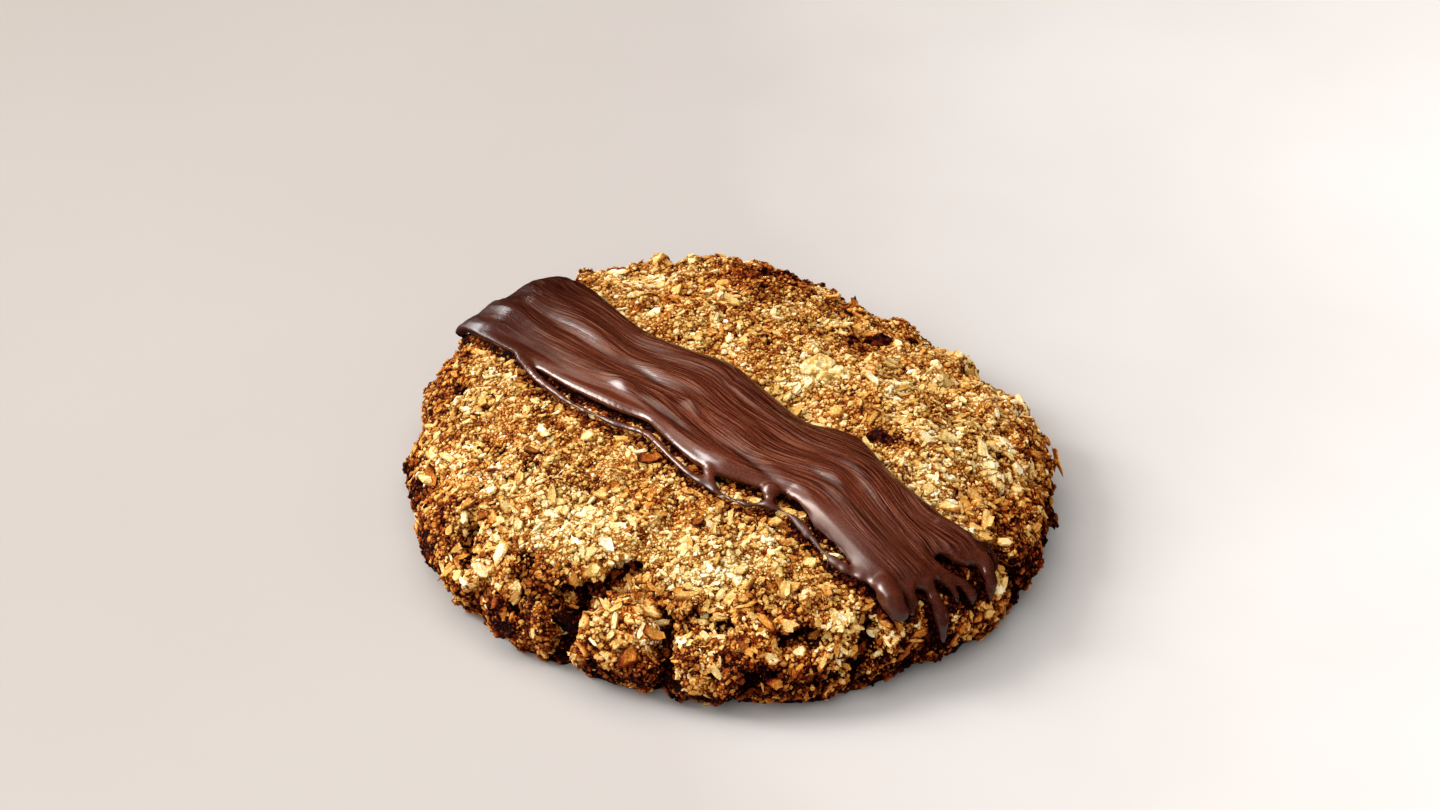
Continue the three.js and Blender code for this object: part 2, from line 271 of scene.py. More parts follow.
def even_mesh(
    node: bpy.types.Object, name: str, voxel: float, smoothing: int, webbing: float = 0.0
) -> bpy.types.Mesh:
    """Rebuild a solid's surface in small even quads.

    Args:
        node: The solid, which stays as it is.
        name: Name of the new mesh.
        voxel: Width of the quads.
        smoothing: Rounds of smoothing over the solid's facets.
        webbing: Half width of the clefts that are filled, as a thick liquid fills them.

    Returns:
        The new mesh.
    """
    mesh = bpy.data.meshes.new(name)
    merged = bmesh.new()
    merged.from_mesh(node.data)
    bmesh.ops.remove_doubles(merged, verts=merged.verts, dist=MERGE_DISTANCE * MM)
    merged.to_mesh(mesh)
    merged.free()
    carrier = bpy.data.objects.new(name, mesh)
    bpy.context.scene.collection.objects.link(carrier)
    swells = (webbing, -webbing) if webbing else ()
    for swell in (0.0, *swells):
        if swell:
            grow = carrier.modifiers.new("swollen", "DISPLACE")
            grow.strength = swell * MM
            grow.mid_level = 0.0
        remesh = carrier.modifiers.new("even quads", "REMESH")
        remesh.mode = "VOXEL"
        remesh.voxel_size = voxel * MM
    eased = carrier.modifiers.new("relaxed", "SMOOTH")
    eased.iterations = smoothing
    depsgraph = bpy.context.evaluated_depsgraph_get()
    done = bpy.data.meshes.new_from_object(carrier.evaluated_get(depsgraph))
    bpy.data.objects.remove(carrier)
    bpy.data.meshes.remove(mesh)
    done.name = name
    done.polygons.foreach_set("use_smooth", np.ones(len(done.polygons), dtype=bool))
    return done


def relax(mesh: bpy.types.Mesh, places: np.ndarray, share: np.ndarray, rounds: int) -> np.ndarray:
    """Draw vertices towards the middle of their neighbours.

    Args:
        mesh: The mesh whose edges join the vertices.
        places: Rows of x, y, z.
        share: How far each vertex goes in a round, from 0 to 1.
        rounds: Number of rounds.

    Returns:
        The new places.
    """
    edges = np.empty(len(mesh.edges) * 2, dtype=np.int32)
    mesh.edges.foreach_get("vertices", edges)
    start, end = np.concatenate([edges.reshape(-1, 2), edges.reshape(-1, 2)[:, ::-1]]).T
    count = np.bincount(start, minlength=len(places))[:, None]
    for _ in range(rounds):
        total = np.stack([np.bincount(start, axis[end], len(places)) for axis in places.T], axis=1)
        places = places + share[:, None] * (total / count - places)
    return places


def surface_tree(mesh: bpy.types.Mesh) -> BVHTree:
    """Make a mesh searchable, in millimetres."""
    return BVHTree.FromPolygons(vertex_array(mesh).tolist(), [p.vertices[:] for p in mesh.polygons])


@dataclass(frozen=True)
class ChocolateStainAndShade:
    """Crumb darkened by the chocolate, partly soaked in, partly painted shade under its near edge and between
    drips.

    Each pair holds how far the darkening reaches and how much tone is lost where the chocolate touches.
    """

    near: Pair = (1.5, 0.6)
    far: Pair = (0.6, 0.35)
    among_drips: Pair = (1.4, 1.2)
    band_end: float = 31.0

    def loss(self, places: np.ndarray, cover: BVHTree) -> np.ndarray:
        """Work out how much tone is lost.

        Args:
            places: Rows of x, y, z.
            cover: The chocolate's surface.

        Returns:
            Loss of tone at each place.
        """
        past_end = places[:, :2] @ band_axes()[0] > self.band_end
        loss = np.zeros(len(places))
        for i, place in enumerate(places):
            touch, _, _, gap = cover.find_nearest(Vector(place), self.among_drips[0])
            if touch is None:
                continue
            near = touch.x - place[0] + touch.y - place[1] > 0
            # Painted shade: under the near edge and among the drips the crumb is darkened as if in the
            # chocolate's shadow
            reach, drop = self.among_drips if past_end[i] else self.near if near else self.far
            loss[i] = drop * max(0.0, 1.0 - gap / reach)
        return loss


@dataclass(frozen=True)
class CrustMap:
    """The cookie's smooth form, read as a flat plan.

    A plan point keeps its heading round the crown, and its distance from the middle is the distance from the
    crown along the surface.
    """

    axis: Pair = (-0.97, -0.42)
    crown: float = 14.0
    belly: float = 4.5
    undercut: float = 2.5
    shoulder_power: float = 4.0
    mean_radius: float = 38.5
    rim_radii: tuple[float, ...] = (
        39, 36, 34, 36.8, 39.8, 40.2, 39.6, 37.8,
        36.4, 37.2, 37.4, 38.4, 39.5, 40.4, 41, 40,
    )
    upper_steps: int = 200
    lower_steps: int = 40

    def section(self) -> tuple[np.ndarray, np.ndarray, np.ndarray]:
        """Trace the half section from the crown to the base edge.

        Returns:
            Distance from the axis, height and distance along the surface.
        """
        angle = np.pi / 2 * np.linspace(0, 1, self.upper_steps) ** 2
        upper_r = self.mean_radius * np.sin(angle) ** (2 / self.shoulder_power)
        upper_z = self.belly + (self.crown - self.belly) * np.cos(angle)
        drop = np.linspace(0, 1, self.lower_steps)[1:]
        radius = np.concatenate([upper_r, self.mean_radius - self.undercut * drop**2])
        height = np.concatenate([upper_z, self.belly * (1 - drop)])
        along = np.concatenate([[0], np.cumsum(np.hypot(np.diff(radius), np.diff(height)))])
        return radius, height, along

    def rim(self, heading: np.ndarray) -> np.ndarray:
        """Give the rim's radius at headings in radians."""
        count = len(self.rim_radii)
        turns = np.arange(count + 1) * 2 * np.pi / count
        return np.interp(heading % (2 * np.pi), turns, np.append(self.rim_radii, self.rim_radii[0]))

    def plan(self, places: np.ndarray) -> np.ndarray:
        """Find the plan points of places on or near the surface.

        Args:
            places: Rows of x, y, z.

        Returns:
            Rows of plan x and y.
        """
        radius, height, along = self.section()
        x, y = places[:, 0] - self.axis[0], places[:, 1] - self.axis[1]
        heading = np.arctan2(y, x)
        share = np.hypot(x, y) / self.rim(heading) * self.mean_radius
        slope = np.arctan2(places[:, 2], share)
        reach = np.interp(-slope, -np.arctan2(height, radius), along)
        return np.stack([reach * np.cos(heading), reach * np.sin(heading)], axis=1)


@dataclass(frozen=True)
class BakedDough:
    """Oven-baked oat and almond dough: dry, matt, toasted darker in the joints between its grains."""

    name: str = "baked oat dough, crumbled and toasted"
    stops: tuple[float, ...] = (0.0, 0.18, 0.38, 0.56, 0.74, 0.9, 1.0)
    straw: tuple[str, ...] = ("#100101", "#5b1d08", "#985f22", "#c49c4e", "#e2ca8c", "#f2e5c4", "#faf4e2")
    amber: tuple[str, ...] = ("#100101", "#5c1a06", "#9b4d16", "#c98736", "#e5bd70", "#f1dfb4", "#f7eacb")
    roughness: float = 0.78
    ior: float = 1.45
    gloss: float = 0.04
    grain_mm: float = 0.42
    bend_mm: Pair = (0.8, 0.7)
    swing: float = 0.15
    joint_mm: float = 0.1
    joint_drop: float = 0.28
    relief_mm: float = 0.1
    relief_strength: float = 0.8
    translucence: float = 0.05
    light_reach: Triple = (1.0, 0.5, 0.2)
    light_reach_mm: float = 0.6

    def material(self) -> bpy.types.Material:
        """Build the material; tone runs from burnt to pale, and warmth from straw to amber."""
        material, tree = new_material(self.name)
        where = add_node(tree, "ShaderNodeTexCoord").outputs["Object"]
        tone = add_node(tree, "ShaderNodeAttribute", attribute_name="tone").outputs["Fac"]
        warmth = add_node(tree, "ShaderNodeAttribute", attribute_name="warmth").outputs["Fac"]
        # Grains too small to be pieces lie pressed together like a mosaic, each toasted by its own amount
        size, shift = self.bend_mm
        waves = {"Vector": where, "Scale": 1 / (size * MM), "Detail": 1.0}
        drift = add_node(tree, "ShaderNodeTexNoise", waves).outputs["Color"]
        shifted = {0: drift, 1: (shift * MM,) * 3, 2: where}
        bent = add_node(tree, "ShaderNodeVectorMath", shifted, operation="MULTIPLY_ADD").outputs["Vector"]
        packing = {"Vector": bent, "Scale": 1 / (self.grain_mm * MM)}
        grains = add_node(tree, "ShaderNodeTexVoronoi", packing).outputs["Color"]
        joints = add_node(tree, "ShaderNodeTexVoronoi", packing, feature="DISTANCE_TO_EDGE")
        lot = add_node(tree, "ShaderNodeSeparateColor", {"Color": grains}).outputs["Red"]
        limits = {"To Min": -self.swing - self.joint_drop, "To Max": self.swing - self.joint_drop}
        shade = add_node(tree, "ShaderNodeMapRange", {"Value": lot, **limits}).outputs["Result"]
        slope = {"Value": joints.outputs["Distance"], "From Max": self.joint_mm / self.grain_mm}
        rise = add_node(tree, "ShaderNodeMapRange", slope, interpolation_type="SMOOTHSTEP").outputs["Result"]
        base = add_node(tree, "ShaderNodeMath", {0: tone, 1: shade}, operation="ADD").outputs["Value"]
        raised = {0: rise, 1: self.joint_drop, 2: base}
        toast = add_node(tree, "ShaderNodeMath", raised, operation="MULTIPLY_ADD").outputs["Value"]
        shades = []
        for colours in (self.straw, self.amber):
            ramp = add_node(tree, "ShaderNodeValToRGB", {"Fac": toast})
            set_ramp(ramp.color_ramp, self.stops, colours)
            shades.append(ramp.outputs["Color"])
        mixed = {MIX_SHARE: warmth, MIX_FIRST: shades[0], MIX_SECOND: shades[1]}
        colour = add_node(tree, "ShaderNodeMix", mixed, data_type="RGBA").outputs[MIX_RESULT]
        relief = {"Height": rise, "Distance": self.relief_mm * MM, "Strength": self.relief_strength}
        finish = {
            "Base Color": colour,
            "Roughness": self.roughness,
            "IOR": self.ior,
            "Specular IOR Level": self.gloss,
            "Normal": add_node(tree, "ShaderNodeBump", relief).outputs["Normal"],
            "Subsurface Weight": self.translucence,
            "Subsurface Radius": self.light_reach,
            "Subsurface Scale": self.light_reach_mm * MM,
        }
        shader = add_node(tree, "ShaderNodeBsdfPrincipled", finish)
        add_node(tree, "ShaderNodeOutputMaterial", {"Surface": shader.outputs["BSDF"]})
        return material


@dataclass(frozen=True)
class SetChocolate:
    """Dark chocolate combed while soft and set in air: satin, with fine paler lines along the stroke."""

    name: str = "dark chocolate, combed and air set"
    stops: tuple[float, ...] = (0.38, 0.5, 0.66)
    deep: str = "#200301"
    body: str = "#542110"
    streak: str = "#8c573f"
    roughness: float = 0.27
    dull_roughness: float = 0.72
    ior: float = 1.48
    gloss: float = 0.6
    line_mm: Pair = (0.17, 7.0)
    line_detail: float = 3.0
    line_roughness: float = 0.65
    line_height_mm: float = 0.06
    line_strength: float = 0.7
    plain_tone: float = 0.5
    grain_mm: float = 0.16
    grain_swing: float = 0.16
    shade_and_darkening_depth: float = 0.85

    def material(self) -> bpy.types.Material:
        """Build the material; the flow attribute lays its lines along the stroke."""
        material, tree = new_material(self.name)
        where = add_node(tree, "ShaderNodeTexCoord").outputs["Object"]
        flow = add_node(tree, "ShaderNodeAttribute", attribute_name="flow").outputs["Vector"]
        combed, shade_and_darkening, dull = (
            add_node(tree, "ShaderNodeAttribute", attribute_name=name).outputs["Fac"]
            for name in ("combed", "shade_and_darkening", "dull")
        )
        across, along = self.line_mm
        drawn = {"Vector": flow, "Scale": (1 / across, 1 / along, 1.0)}
        stroke = add_node(tree, "ShaderNodeMapping", drawn).outputs["Vector"]
        bristles = {"Scale": 1.0, "Detail": self.line_detail, "Roughness": self.line_roughness}
        lines = add_node(tree, "ShaderNodeTexNoise", {"Vector": stroke, **bristles}).outputs["Fac"]
        # The comb left its lines on the band alone: lips and drips flowed smooth after it
        kept = {"Factor": combed, "A": self.plain_tone, "B": lines}
        marks = add_node(tree, "ShaderNodeMix", kept).outputs["Result"]
        # Crystals of cocoa butter fleck the colour and the sheen, drawn coarser than real so that they show
        crystals = {"Vector": where, "Scale": 1 / (self.grain_mm * MM), "Detail": 1.0}
        grain = add_node(tree, "ShaderNodeTexNoise", crystals).outputs["Fac"]
        mixed = {"Factor": self.grain_swing, "A": marks, "B": grain}
        flecked = add_node(tree, "ShaderNodeMix", mixed).outputs["Result"]
        ramp = add_node(tree, "ShaderNodeValToRGB", {"Fac": flecked})
        set_ramp(ramp.color_ramp, self.stops, (self.deep, self.body, self.streak))
        # Painted shade darkens the folds, creases, far side and drips towards the deep colour; the ends and
        # thread are darkened too
        deepened = {0: shade_and_darkening, 1: self.shade_and_darkening_depth}
        hollow = add_node(tree, "ShaderNodeMath", deepened, operation="MULTIPLY").outputs["Value"]
        shaded = {MIX_SHARE: hollow, MIX_FIRST: ramp.outputs["Color"], MIX_SECOND: linear(self.deep)}
        colour = add_node(tree, "ShaderNodeMix", shaded, data_type="RGBA").outputs[MIX_RESULT]
        relief = {"Height": flecked, "Distance": self.line_height_mm * MM, "Strength": self.line_strength}
        # Where the edge cooled on the crumb it set duller
        cooled = {"Factor": dull, "A": self.roughness, "B": self.dull_roughness}
        finish = {
            "Base Color": colour,
            "Roughness": add_node(tree, "ShaderNodeMix", cooled).outputs["Result"],
            "IOR": self.ior,
            "Specular IOR Level": self.gloss,
            "Normal": add_node(tree, "ShaderNodeBump", relief).outputs["Normal"],
        }
        shader = add_node(tree, "ShaderNodeBsdfPrincipled", finish)
        add_node(tree, "ShaderNodeOutputMaterial", {"Surface": shader.outputs["BSDF"]})
        return material


@dataclass(frozen=True)
class PaleFloor:
    """A plain matt table top, faintly uneven in tone as painted plaster is, and painted light brighter to the
    right.
    """

    name: str = "pale plaster, rubbed smooth"
    stops: tuple[float, ...] = (0.0, 0.5, 1.0)
    painted_light_left_to_right: tuple[str, ...] = ("#9d9791", "#aca7a3", "#e3e2e0")
    roughness: float = 0.8
    spread_mm: float = 140.0
    cloud_mm: float = 90.0
    cloud_detail: float = 4.0
    cloud_swing: float = 0.3

    def material(self) -> bpy.types.Material:
        """Build the material; its tone rises from left to right as painted light, through soft clouds."""
        material, tree = new_material(self.name)
        where = add_node(tree, "ShaderNodeTexCoord").outputs["Object"]
        drifting = {"Vector": where, "Scale": 1 / (self.cloud_mm * MM), "Detail": self.cloud_detail}
        clouds = add_node(tree, "ShaderNodeTexNoise", drifting).outputs["Fac"]
        # Painted light: the rise from left to right stands for light falling more strongly on the right
        slope = {
            "Value": add_node(tree, "ShaderNodeSeparateXYZ", {"Vector": where}).outputs["X"],
            "From Min": -self.spread_mm * MM,
            "From Max": self.spread_mm * MM,
            "To Min": -self.cloud_swing / 2,
            "To Max": 1.0 - self.cloud_swing / 2,
        }
        rise = add_node(tree, "ShaderNodeMapRange", slope).outputs["Result"]
        clouded = {0: clouds, 1: self.cloud_swing, 2: rise}
        level = add_node(tree, "ShaderNodeMath", clouded, operation="MULTIPLY_ADD").outputs["Value"]
        ramp = add_node(tree, "ShaderNodeValToRGB", {"Fac": level})
        set_ramp(ramp.color_ramp, self.stops, self.painted_light_left_to_right)
        finish = {"Base Color": ramp.outputs["Color"], "Roughness": self.roughness}
        shader = add_node(tree, "ShaderNodeBsdfPrincipled", finish)
        add_node(tree, "ShaderNodeOutputMaterial", {"Surface": shader.outputs["BSDF"]})
        return material


@dataclass(frozen=True)
class Fissure:
    """A crack through the crust, along points of heading in degrees and reach.

    The jag is the width of its bends and how far they swing, with finer bends at a fixed ratio.
    """

    through: tuple[Pair, ...]
    half_width: float
    depth: float
    jag: Pair = (1.3, 0.55)
    finer: float = 2.3

    def distance(self, plan: np.ndarray) -> np.ndarray:
        """Measure how far plan points lie from the crack.

        Args:
            plan: Rows of plan x and y.

        Returns:
            One distance for each point.
        """
        turns = np.radians([turn for turn, _ in self.through])
        reaches = np.array([reach for _, reach in self.through])
        bends = np.stack([reaches * np.cos(turns), reaches * np.sin(turns)], axis=1)
        size, shift = self.jag
        sway = shift * (np.sin(plan / size) + np.sin(self.finer * plan / size + 1) / 2)
        plan = plan + sway[:, ::-1]
        nearest = np.full(len(plan), np.inf)
        for start, end in zip(bends[:-1], bends[1:]):
            run = end - start
            share = np.clip((plan - start) @ run / (run @ run), 0.0, 1.0)
            nearest = np.minimum(nearest, np.linalg.norm(plan - start - share[:, None] * run, axis=1))
        return nearest


@dataclass(frozen=True)
class Patch:
    """A stretch of crust that baked paler or darker than the rest, at a plan point; one on the left wall is
    painted light.
    """

    middle: Pair
    radius: float
    tone: float
    warmth: float = 0.0


@dataclass(frozen=True)
class DoughField:
    """How the dough clumps, cracks and browns from place to place, with painted shade in its cracks.

    A pair named for a tone or level holds its value on the top and on the side wall.
    """

    crust: CrustMap = CrustMap()
    clump_size: float = 3.1
    clump_shift: float = 5.0
    sway: float = 1.1
    sway_size: float = 2.6
    sway_shifts: Triple = (11.0, 23.0, 37.0)
    void_size: float = 2.7
    void_levels: Pair = (0.6, 0.15)
    void_softness: float = 0.22
    void_shifts: Pair = (40.0, 71.0)
    finer_void: Pair = (0.5, 2.2)
    wall_heights: Pair = (10.0, 5.0)
    rim_reach: Pair = (28.0, 36.0)
    rim_share: float = 0.4
    foot_heights: Pair = (1.0, 6.5)
    foot_shade: float = 0.05
    patch_size: float = 8.0
    patch_shifts: Pair = (21.0, 51.0)
    clump_tone: Pair = (0.1, 0.2)
    patch_tone: Pair = (0.07, 0.25)
    crown_tone: float = 0.14
    crack_shade: float = 0.7
    warmth: float = 0.38
    patch_warmth: float = 0.55
    clump_warmth: float = 0.5
    clump_shuffle: float = 7.3
    wall_warmth: float = 0.85
    fissures: tuple[Fissure, ...] = (
        Fissure(((-109, 31), (-114, 34), (-119, 36), (-117.5, 47)), 0.95, 2.6),
        Fissure(((-104, 33), (-99, 38), (-100, 47)), 0.6, 2.0),
        Fissure(((-147, 36.5), (-143, 38.5)), 1.0, 1.8),
        Fissure(((-96, 35), (-90, 36.2)), 0.8, 1.5),
        Fissure(((-80, 37.8), (-73, 36.8)), 0.8, 1.5),
        Fissure(((-85, 41), (-88, 47)), 0.7, 1.8),
        Fissure(((-65, 37.5), (-67, 44)), 0.9, 2.0),
        Fissure(((-36, 37.5), (-33, 44)), 0.8, 1.6),
        Fissure(((-167, 27.5), (-162, 30), (-154, 31)), 0.6, 1.4),
        Fissure(((-156, 25), (-152, 27)), 0.6, 1.3),
        Fissure(((-133, 34), (-128, 40)), 0.7, 1.5),
        Fissure(((22, 34), (25, 46)), 0.7, 1.4),
        Fissure(((63, 35), (60, 45)), 0.7, 1.5),
        Fissure(((97, 36), (100, 46)), 0.7, 1.3),
        Fissure(((166, 34), (170, 44)), 0.7, 1.4),
    )
    patches: tuple[Patch, ...] = (
        Patch((12.2, 7.3), 3.2, 0.26, -0.5),
        Patch((18.8, 15.6), 2.6, -0.3),
        Patch((18.0, -6.1), 1.6, -0.34),
        Patch((6.0, 30.5), 6.0, -0.16, 0.2),
        Patch((32.0, -21.0), 4.0, -0.12),
        Patch((-26.0, -12.2), 3.6, 0.1, -0.2),
        Patch((-16.6, -21.1), 4.2, 0.02, -0.3),
        Patch((0.0, -27.1), 5.0, 0.01, -0.4),
        Patch((-9.2, -13.0), 5.5, 0.04, 0.2),
        # Painted light: the left wall is made paler, as the light from the left falls on it
        Patch((-34.0, -10.1), 6.0, 0.07, 0.4),
        Patch((-28.6, -7.1), 1.8, -0.25),
        Patch((25.7, 22.8), 4.0, 0.08, -0.3),
        Patch((8.0, 25.0), 13.0, -0.09, 0.3),
        Patch((24.0, 6.0), 11.0, -0.05, 0.1),
        Patch((-3.0, -21.0), 9.0, -0.05, 0.15),
        Patch((-20.0, -8.0), 9.0, -0.05, 0.1),
        Patch((27.0, -5.4), 4.0, -0.05, -0.4),
    )

    def clumps(self, places: np.ndarray) -> tuple[np.ndarray, np.ndarray]:
        """Sample the uneven clumps that the dough was pressed from.

        Args:
            places: Rows of x, y, z.

        Returns:
            Height in the clump from 0 at its edge to 1, and the clump's own number from 0 to 1.
        """
        drift = np.stack([noise_field(places, self.sway_size, shift) for shift in self.sway_shifts], axis=1)
        return cell_field(places + self.sway * drift, self.clump_size, self.clump_shift)

    def cracks(self, plan: np.ndarray) -> tuple[np.ndarray, np.ndarray]:
        """Find the cracks at plan points.

        Args:
            plan: Rows of plan x and y.

        Returns:
            Depth of the cracks, and how far inside one each point lies, from 0 outside to 1 in its middle.
        """
        depth, inside = np.zeros(len(plan)), np.zeros(len(plan))
        for fissure in self.fissures:
            share = bell(fissure.distance(plan), 0.0, fissure.half_width)
            depth += fissure.depth * share
            inside = np.maximum(inside, share)
        return depth, inside

    def voids(self, places: np.ndarray, wall: np.ndarray) -> np.ndarray:
        """Find the hollows between clumps, which are wider on the torn side wall.

        Args:
            places: Rows of x, y, z.
            wall: Share of the side wall at each place.

        Returns:
            How far inside a hollow each place lies, from 0 to 1.
        """
        strength, ratio = self.finer_void
        rough = noise_field(places, self.void_size, self.void_shifts[0])
        rough += strength * noise_field(places, self.void_size / ratio, self.void_shifts[1])
        return np.clip((rough - between(self.void_levels, wall)) / self.void_softness, 0.0, 1.0)

    def browning_and_shade(self, places: np.ndarray) -> tuple[np.ndarray, np.ndarray, np.ndarray]:
        """Read how the oven browned the crust, with painted shade darkening its cracks.

        Args:
            places: Rows of x, y, z.

        Returns:
            Shift of tone, warmth from straw to amber, and share of the side wall from 0 to 1.
        """
        plan = self.crust.plan(places)
        rise, number = self.clumps(places)
        wall = 1.0 - smoothstep(self.wall_heights[1], self.wall_heights[0], places[:, 2])
        rim = smoothstep(*self.rim_reach, np.hypot(plan[:, 0], plan[:, 1]))
        wall = np.maximum(wall, self.rim_share * rim)
        tone = between(self.clump_tone, wall) * (2 * number - 1) + self.crown_tone * (rise - 0.5)
        tone += between(self.patch_tone, wall) * noise_field(places, self.patch_size, self.patch_shifts[0])
        tone -= self.foot_shade * (1 - smoothstep(*self.foot_heights, places[:, 2]))
        warmth = self.warmth + self.patch_warmth * noise_field(places, self.patch_size, self.patch_shifts[1])
        warmth += self.clump_warmth * ((number * self.clump_shuffle) % 1.0 - 0.5)
        for patch in self.patches:
            share = np.exp(-(((plan - patch.middle) ** 2).sum(axis=1) / patch.radius**2))
            tone += patch.tone * share
            warmth += patch.warmth * share
        # Painted shade: the cracks are darkened as shade falls in them
        tone -= self.crack_shade * self.cracks(plan)[1]
        return tone, warmth + self.wall_warmth * wall, wall


@dataclass
class CookieBody:
    """The dough itself: a copy of the solid with a granular skin and sharpened cracks.

    A pair named for a rise or share holds its value on the top and on the side wall.
    """

    dough: DoughField = DoughField()
    stain_and_shade: ChocolateStainAndShade = ChocolateStainAndShade()
    voxel: float = 0.39
    smoothing: int = 2
    swell_size: float = 6.5
    swell_shift: float = 3.1
    swell_rise: float = 0.4
    clump_rise: Pair = (0.42, 0.8)
    clump_level: float = 0.65
    grain_size: float = 1.05
    grain_rise: float = 0.34
    pit_share: Pair = (0.6, 1.1)
    pit_depth: float = 1.0
    foot: Pair = (0.15, 1.2)
    foot_lift: Pair = (0.35, 1.0)
    tone: float = 0.47
    number_tone: float = 0.1
    grain_tone: float = 0.25
    grain_level: float = 0.4
    wall_loss: float = 0.3
    pit_shade: float = 0.33
    tone_limits: Pair = (0.05, 1.0)

    def build(self, node: bpy.types.Object, cover: BVHTree, material: bpy.types.Material) -> bpy.types.Object:
        """Make the body and put it in the solid's place.

        Args:
            node: The cookie's solid.
            cover: The chocolate's surface.
            material: Baked dough.

        Returns:
            The new piece.
        """
        mesh = even_mesh(node, "cookie_body", self.voxel, self.smoothing)
        places = vertex_array(mesh)
        normals = vertex_array(mesh, normals=True)
        store_values(mesh, "smooth_normal", normals)
        tone, warmth, wall = self.dough.browning_and_shade(places)
        clump = self.dough.clumps(places)[0]
        grain, number = cell_field(places, self.grain_size)
        pits = self.dough.voids(places, wall) * between(self.pit_share, wall)
        cracks = self.dough.cracks(self.dough.crust.plan(places))[0]
        lift = self.swell_rise * noise_field(places, self.swell_size, self.swell_shift)
        lift += between(self.clump_rise, wall) * (clump * (2 - clump) - self.clump_level)
        lift += self.grain_rise * (grain - 0.5)
        lift -= self.pit_depth * pits + cracks
        above = smoothstep(*self.foot, places[:, 2])
        normals[:, 2] *= above
        places += normals * (lift * between(self.foot_lift, above))[:, None]
        places[:, 2] = np.maximum(places[:, 2], 0.0)
        move_vertices(mesh, places)
        tone += self.tone + self.number_tone * number + self.grain_tone * (grain - self.grain_level)
        # Painted shade in the pits, darkened as if shade fell in them; the side wall is darker too
        tone -= self.wall_loss * wall + self.pit_shade * pits + self.stain_and_shade.loss(places, cover)
        store_values(mesh, "tone", np.clip(tone, *self.tone_limits))
        store_values(mesh, "warmth", np.clip(warmth, 0.0, 1.0))
        piece = add_piece("cookie_body", mesh, material)
        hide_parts("cookie")
        return piece


class GrainShape(Enum):
    """How a scattered grain was broken, rounded or rolled."""

    CHIP = "chip with a flat top"
    LUMP = "rounded lump"
    FLAKE = "thin curled flake"


@dataclass(frozen=True)
class Grain:
    """One kind of scattered grain with its sizes in millimetres and its lie on the crust.

    Slimness and height are shares of the length. A flake's cup, twist and fold are in its own thickness.
    """

    name: str
    shape: GrainShape
    count: int
    length: Pair
    slimness: Pair
    height: Pair
    tilt_deg: float
    lift: float
    tone: Pair
    wall_tone: float
    seed: int
    sides: int = 4
    smooth: bool = False
    in_patches: bool = False
    burnt_share: float = 0.05
    variants: int = 12
    painted_foot_shade: float = 0.3
    raggedness: Pair = (0.7, 1.2)
    chipping: float = 0.1
    small_lean: float = 1.7
    foot_radius: float = 0.56
    top_radius: float = 0.42
    cup: Pair = (-1.6, 2.8)
    twist: Pair = (-2.0, 2.0)
    fold: Pair = (-1.4, 1.4)

    def sizes(self, rng: np.random.Generator) -> np.ndarray:
        """Draw the length, width and height of every grain, one row each.

        Args:
            rng: Seeded source of chance.

        Returns:
            Rows of length, width and height.
        """
        length = between(self.length, rng.random(self.count) ** self.small_lean)
        width = length * rng.uniform(*self.slimness, self.count)
        return np.stack([length, width, length * rng.uniform(*self.height, self.count)], axis=1)

    def template(self, rng: np.random.Generator) -> tuple[np.ndarray, np.ndarray, np.ndarray]:
        """Shape one grain about a unit long, wide and high.

        Args:
            rng: Seeded source of its unevenness.

        Returns:
            Rows of x, y, z, the corners of its triangles, and how deep each row is bedded, from 0 to 1.
        """
        grain = bmesh.new()
        if self.shape is GrainShape.LUMP:
            bmesh.ops.create_icosphere(grain, subdivisions=1, radius=0.5)
        else:
            ends = {"radius1": self.foot_radius, "radius2": self.top_radius}
            bmesh.ops.create_cone(grain, cap_ends=True, segments=self.sides, depth=1.0, **ends)
        if self.shape is GrainShape.FLAKE:
            bmesh.ops.poke(grain, faces=[f for f in grain.faces if len(f.verts) == self.sides])
        depth = np.array([0.5 - v.co.z for v in grain.verts])
        for vert in grain.verts:
            vert.co *= float(rng.uniform(*self.raggedness))
            vert.co += Vector(rng.uniform(-self.chipping, self.chipping, 3))
        if self.shape is GrainShape.FLAKE:
            self._curl(grain, rng)
        bmesh.ops.triangulate(grain, faces=grain.faces)
        bmesh.ops.recalc_face_normals(grain, faces=grain.faces)
        grain.verts.index_update()
        rows = np.array([v.co for v in grain.verts])
        corners = np.array([[v.index for v in f.verts] for f in grain.faces])
        grain.free()
        return rows, corners, depth

    def _curl(self, grain: bmesh.types.BMesh, rng: np.random.Generator) -> None:
        """Cup, twist and fold a flat flake.

        Args:
            grain: The flat flake.
            rng: Seeded source of chance.
        """
        cup, twist, fold = (rng.uniform(*limits) for limits in (self.cup, self.twist, self.fold))
        for vert in grain.verts:
            x, y = vert.co.x, vert.co.y
            vert.co.z += cup * (x * x + y * y) + twist * x * y + fold * abs(x)


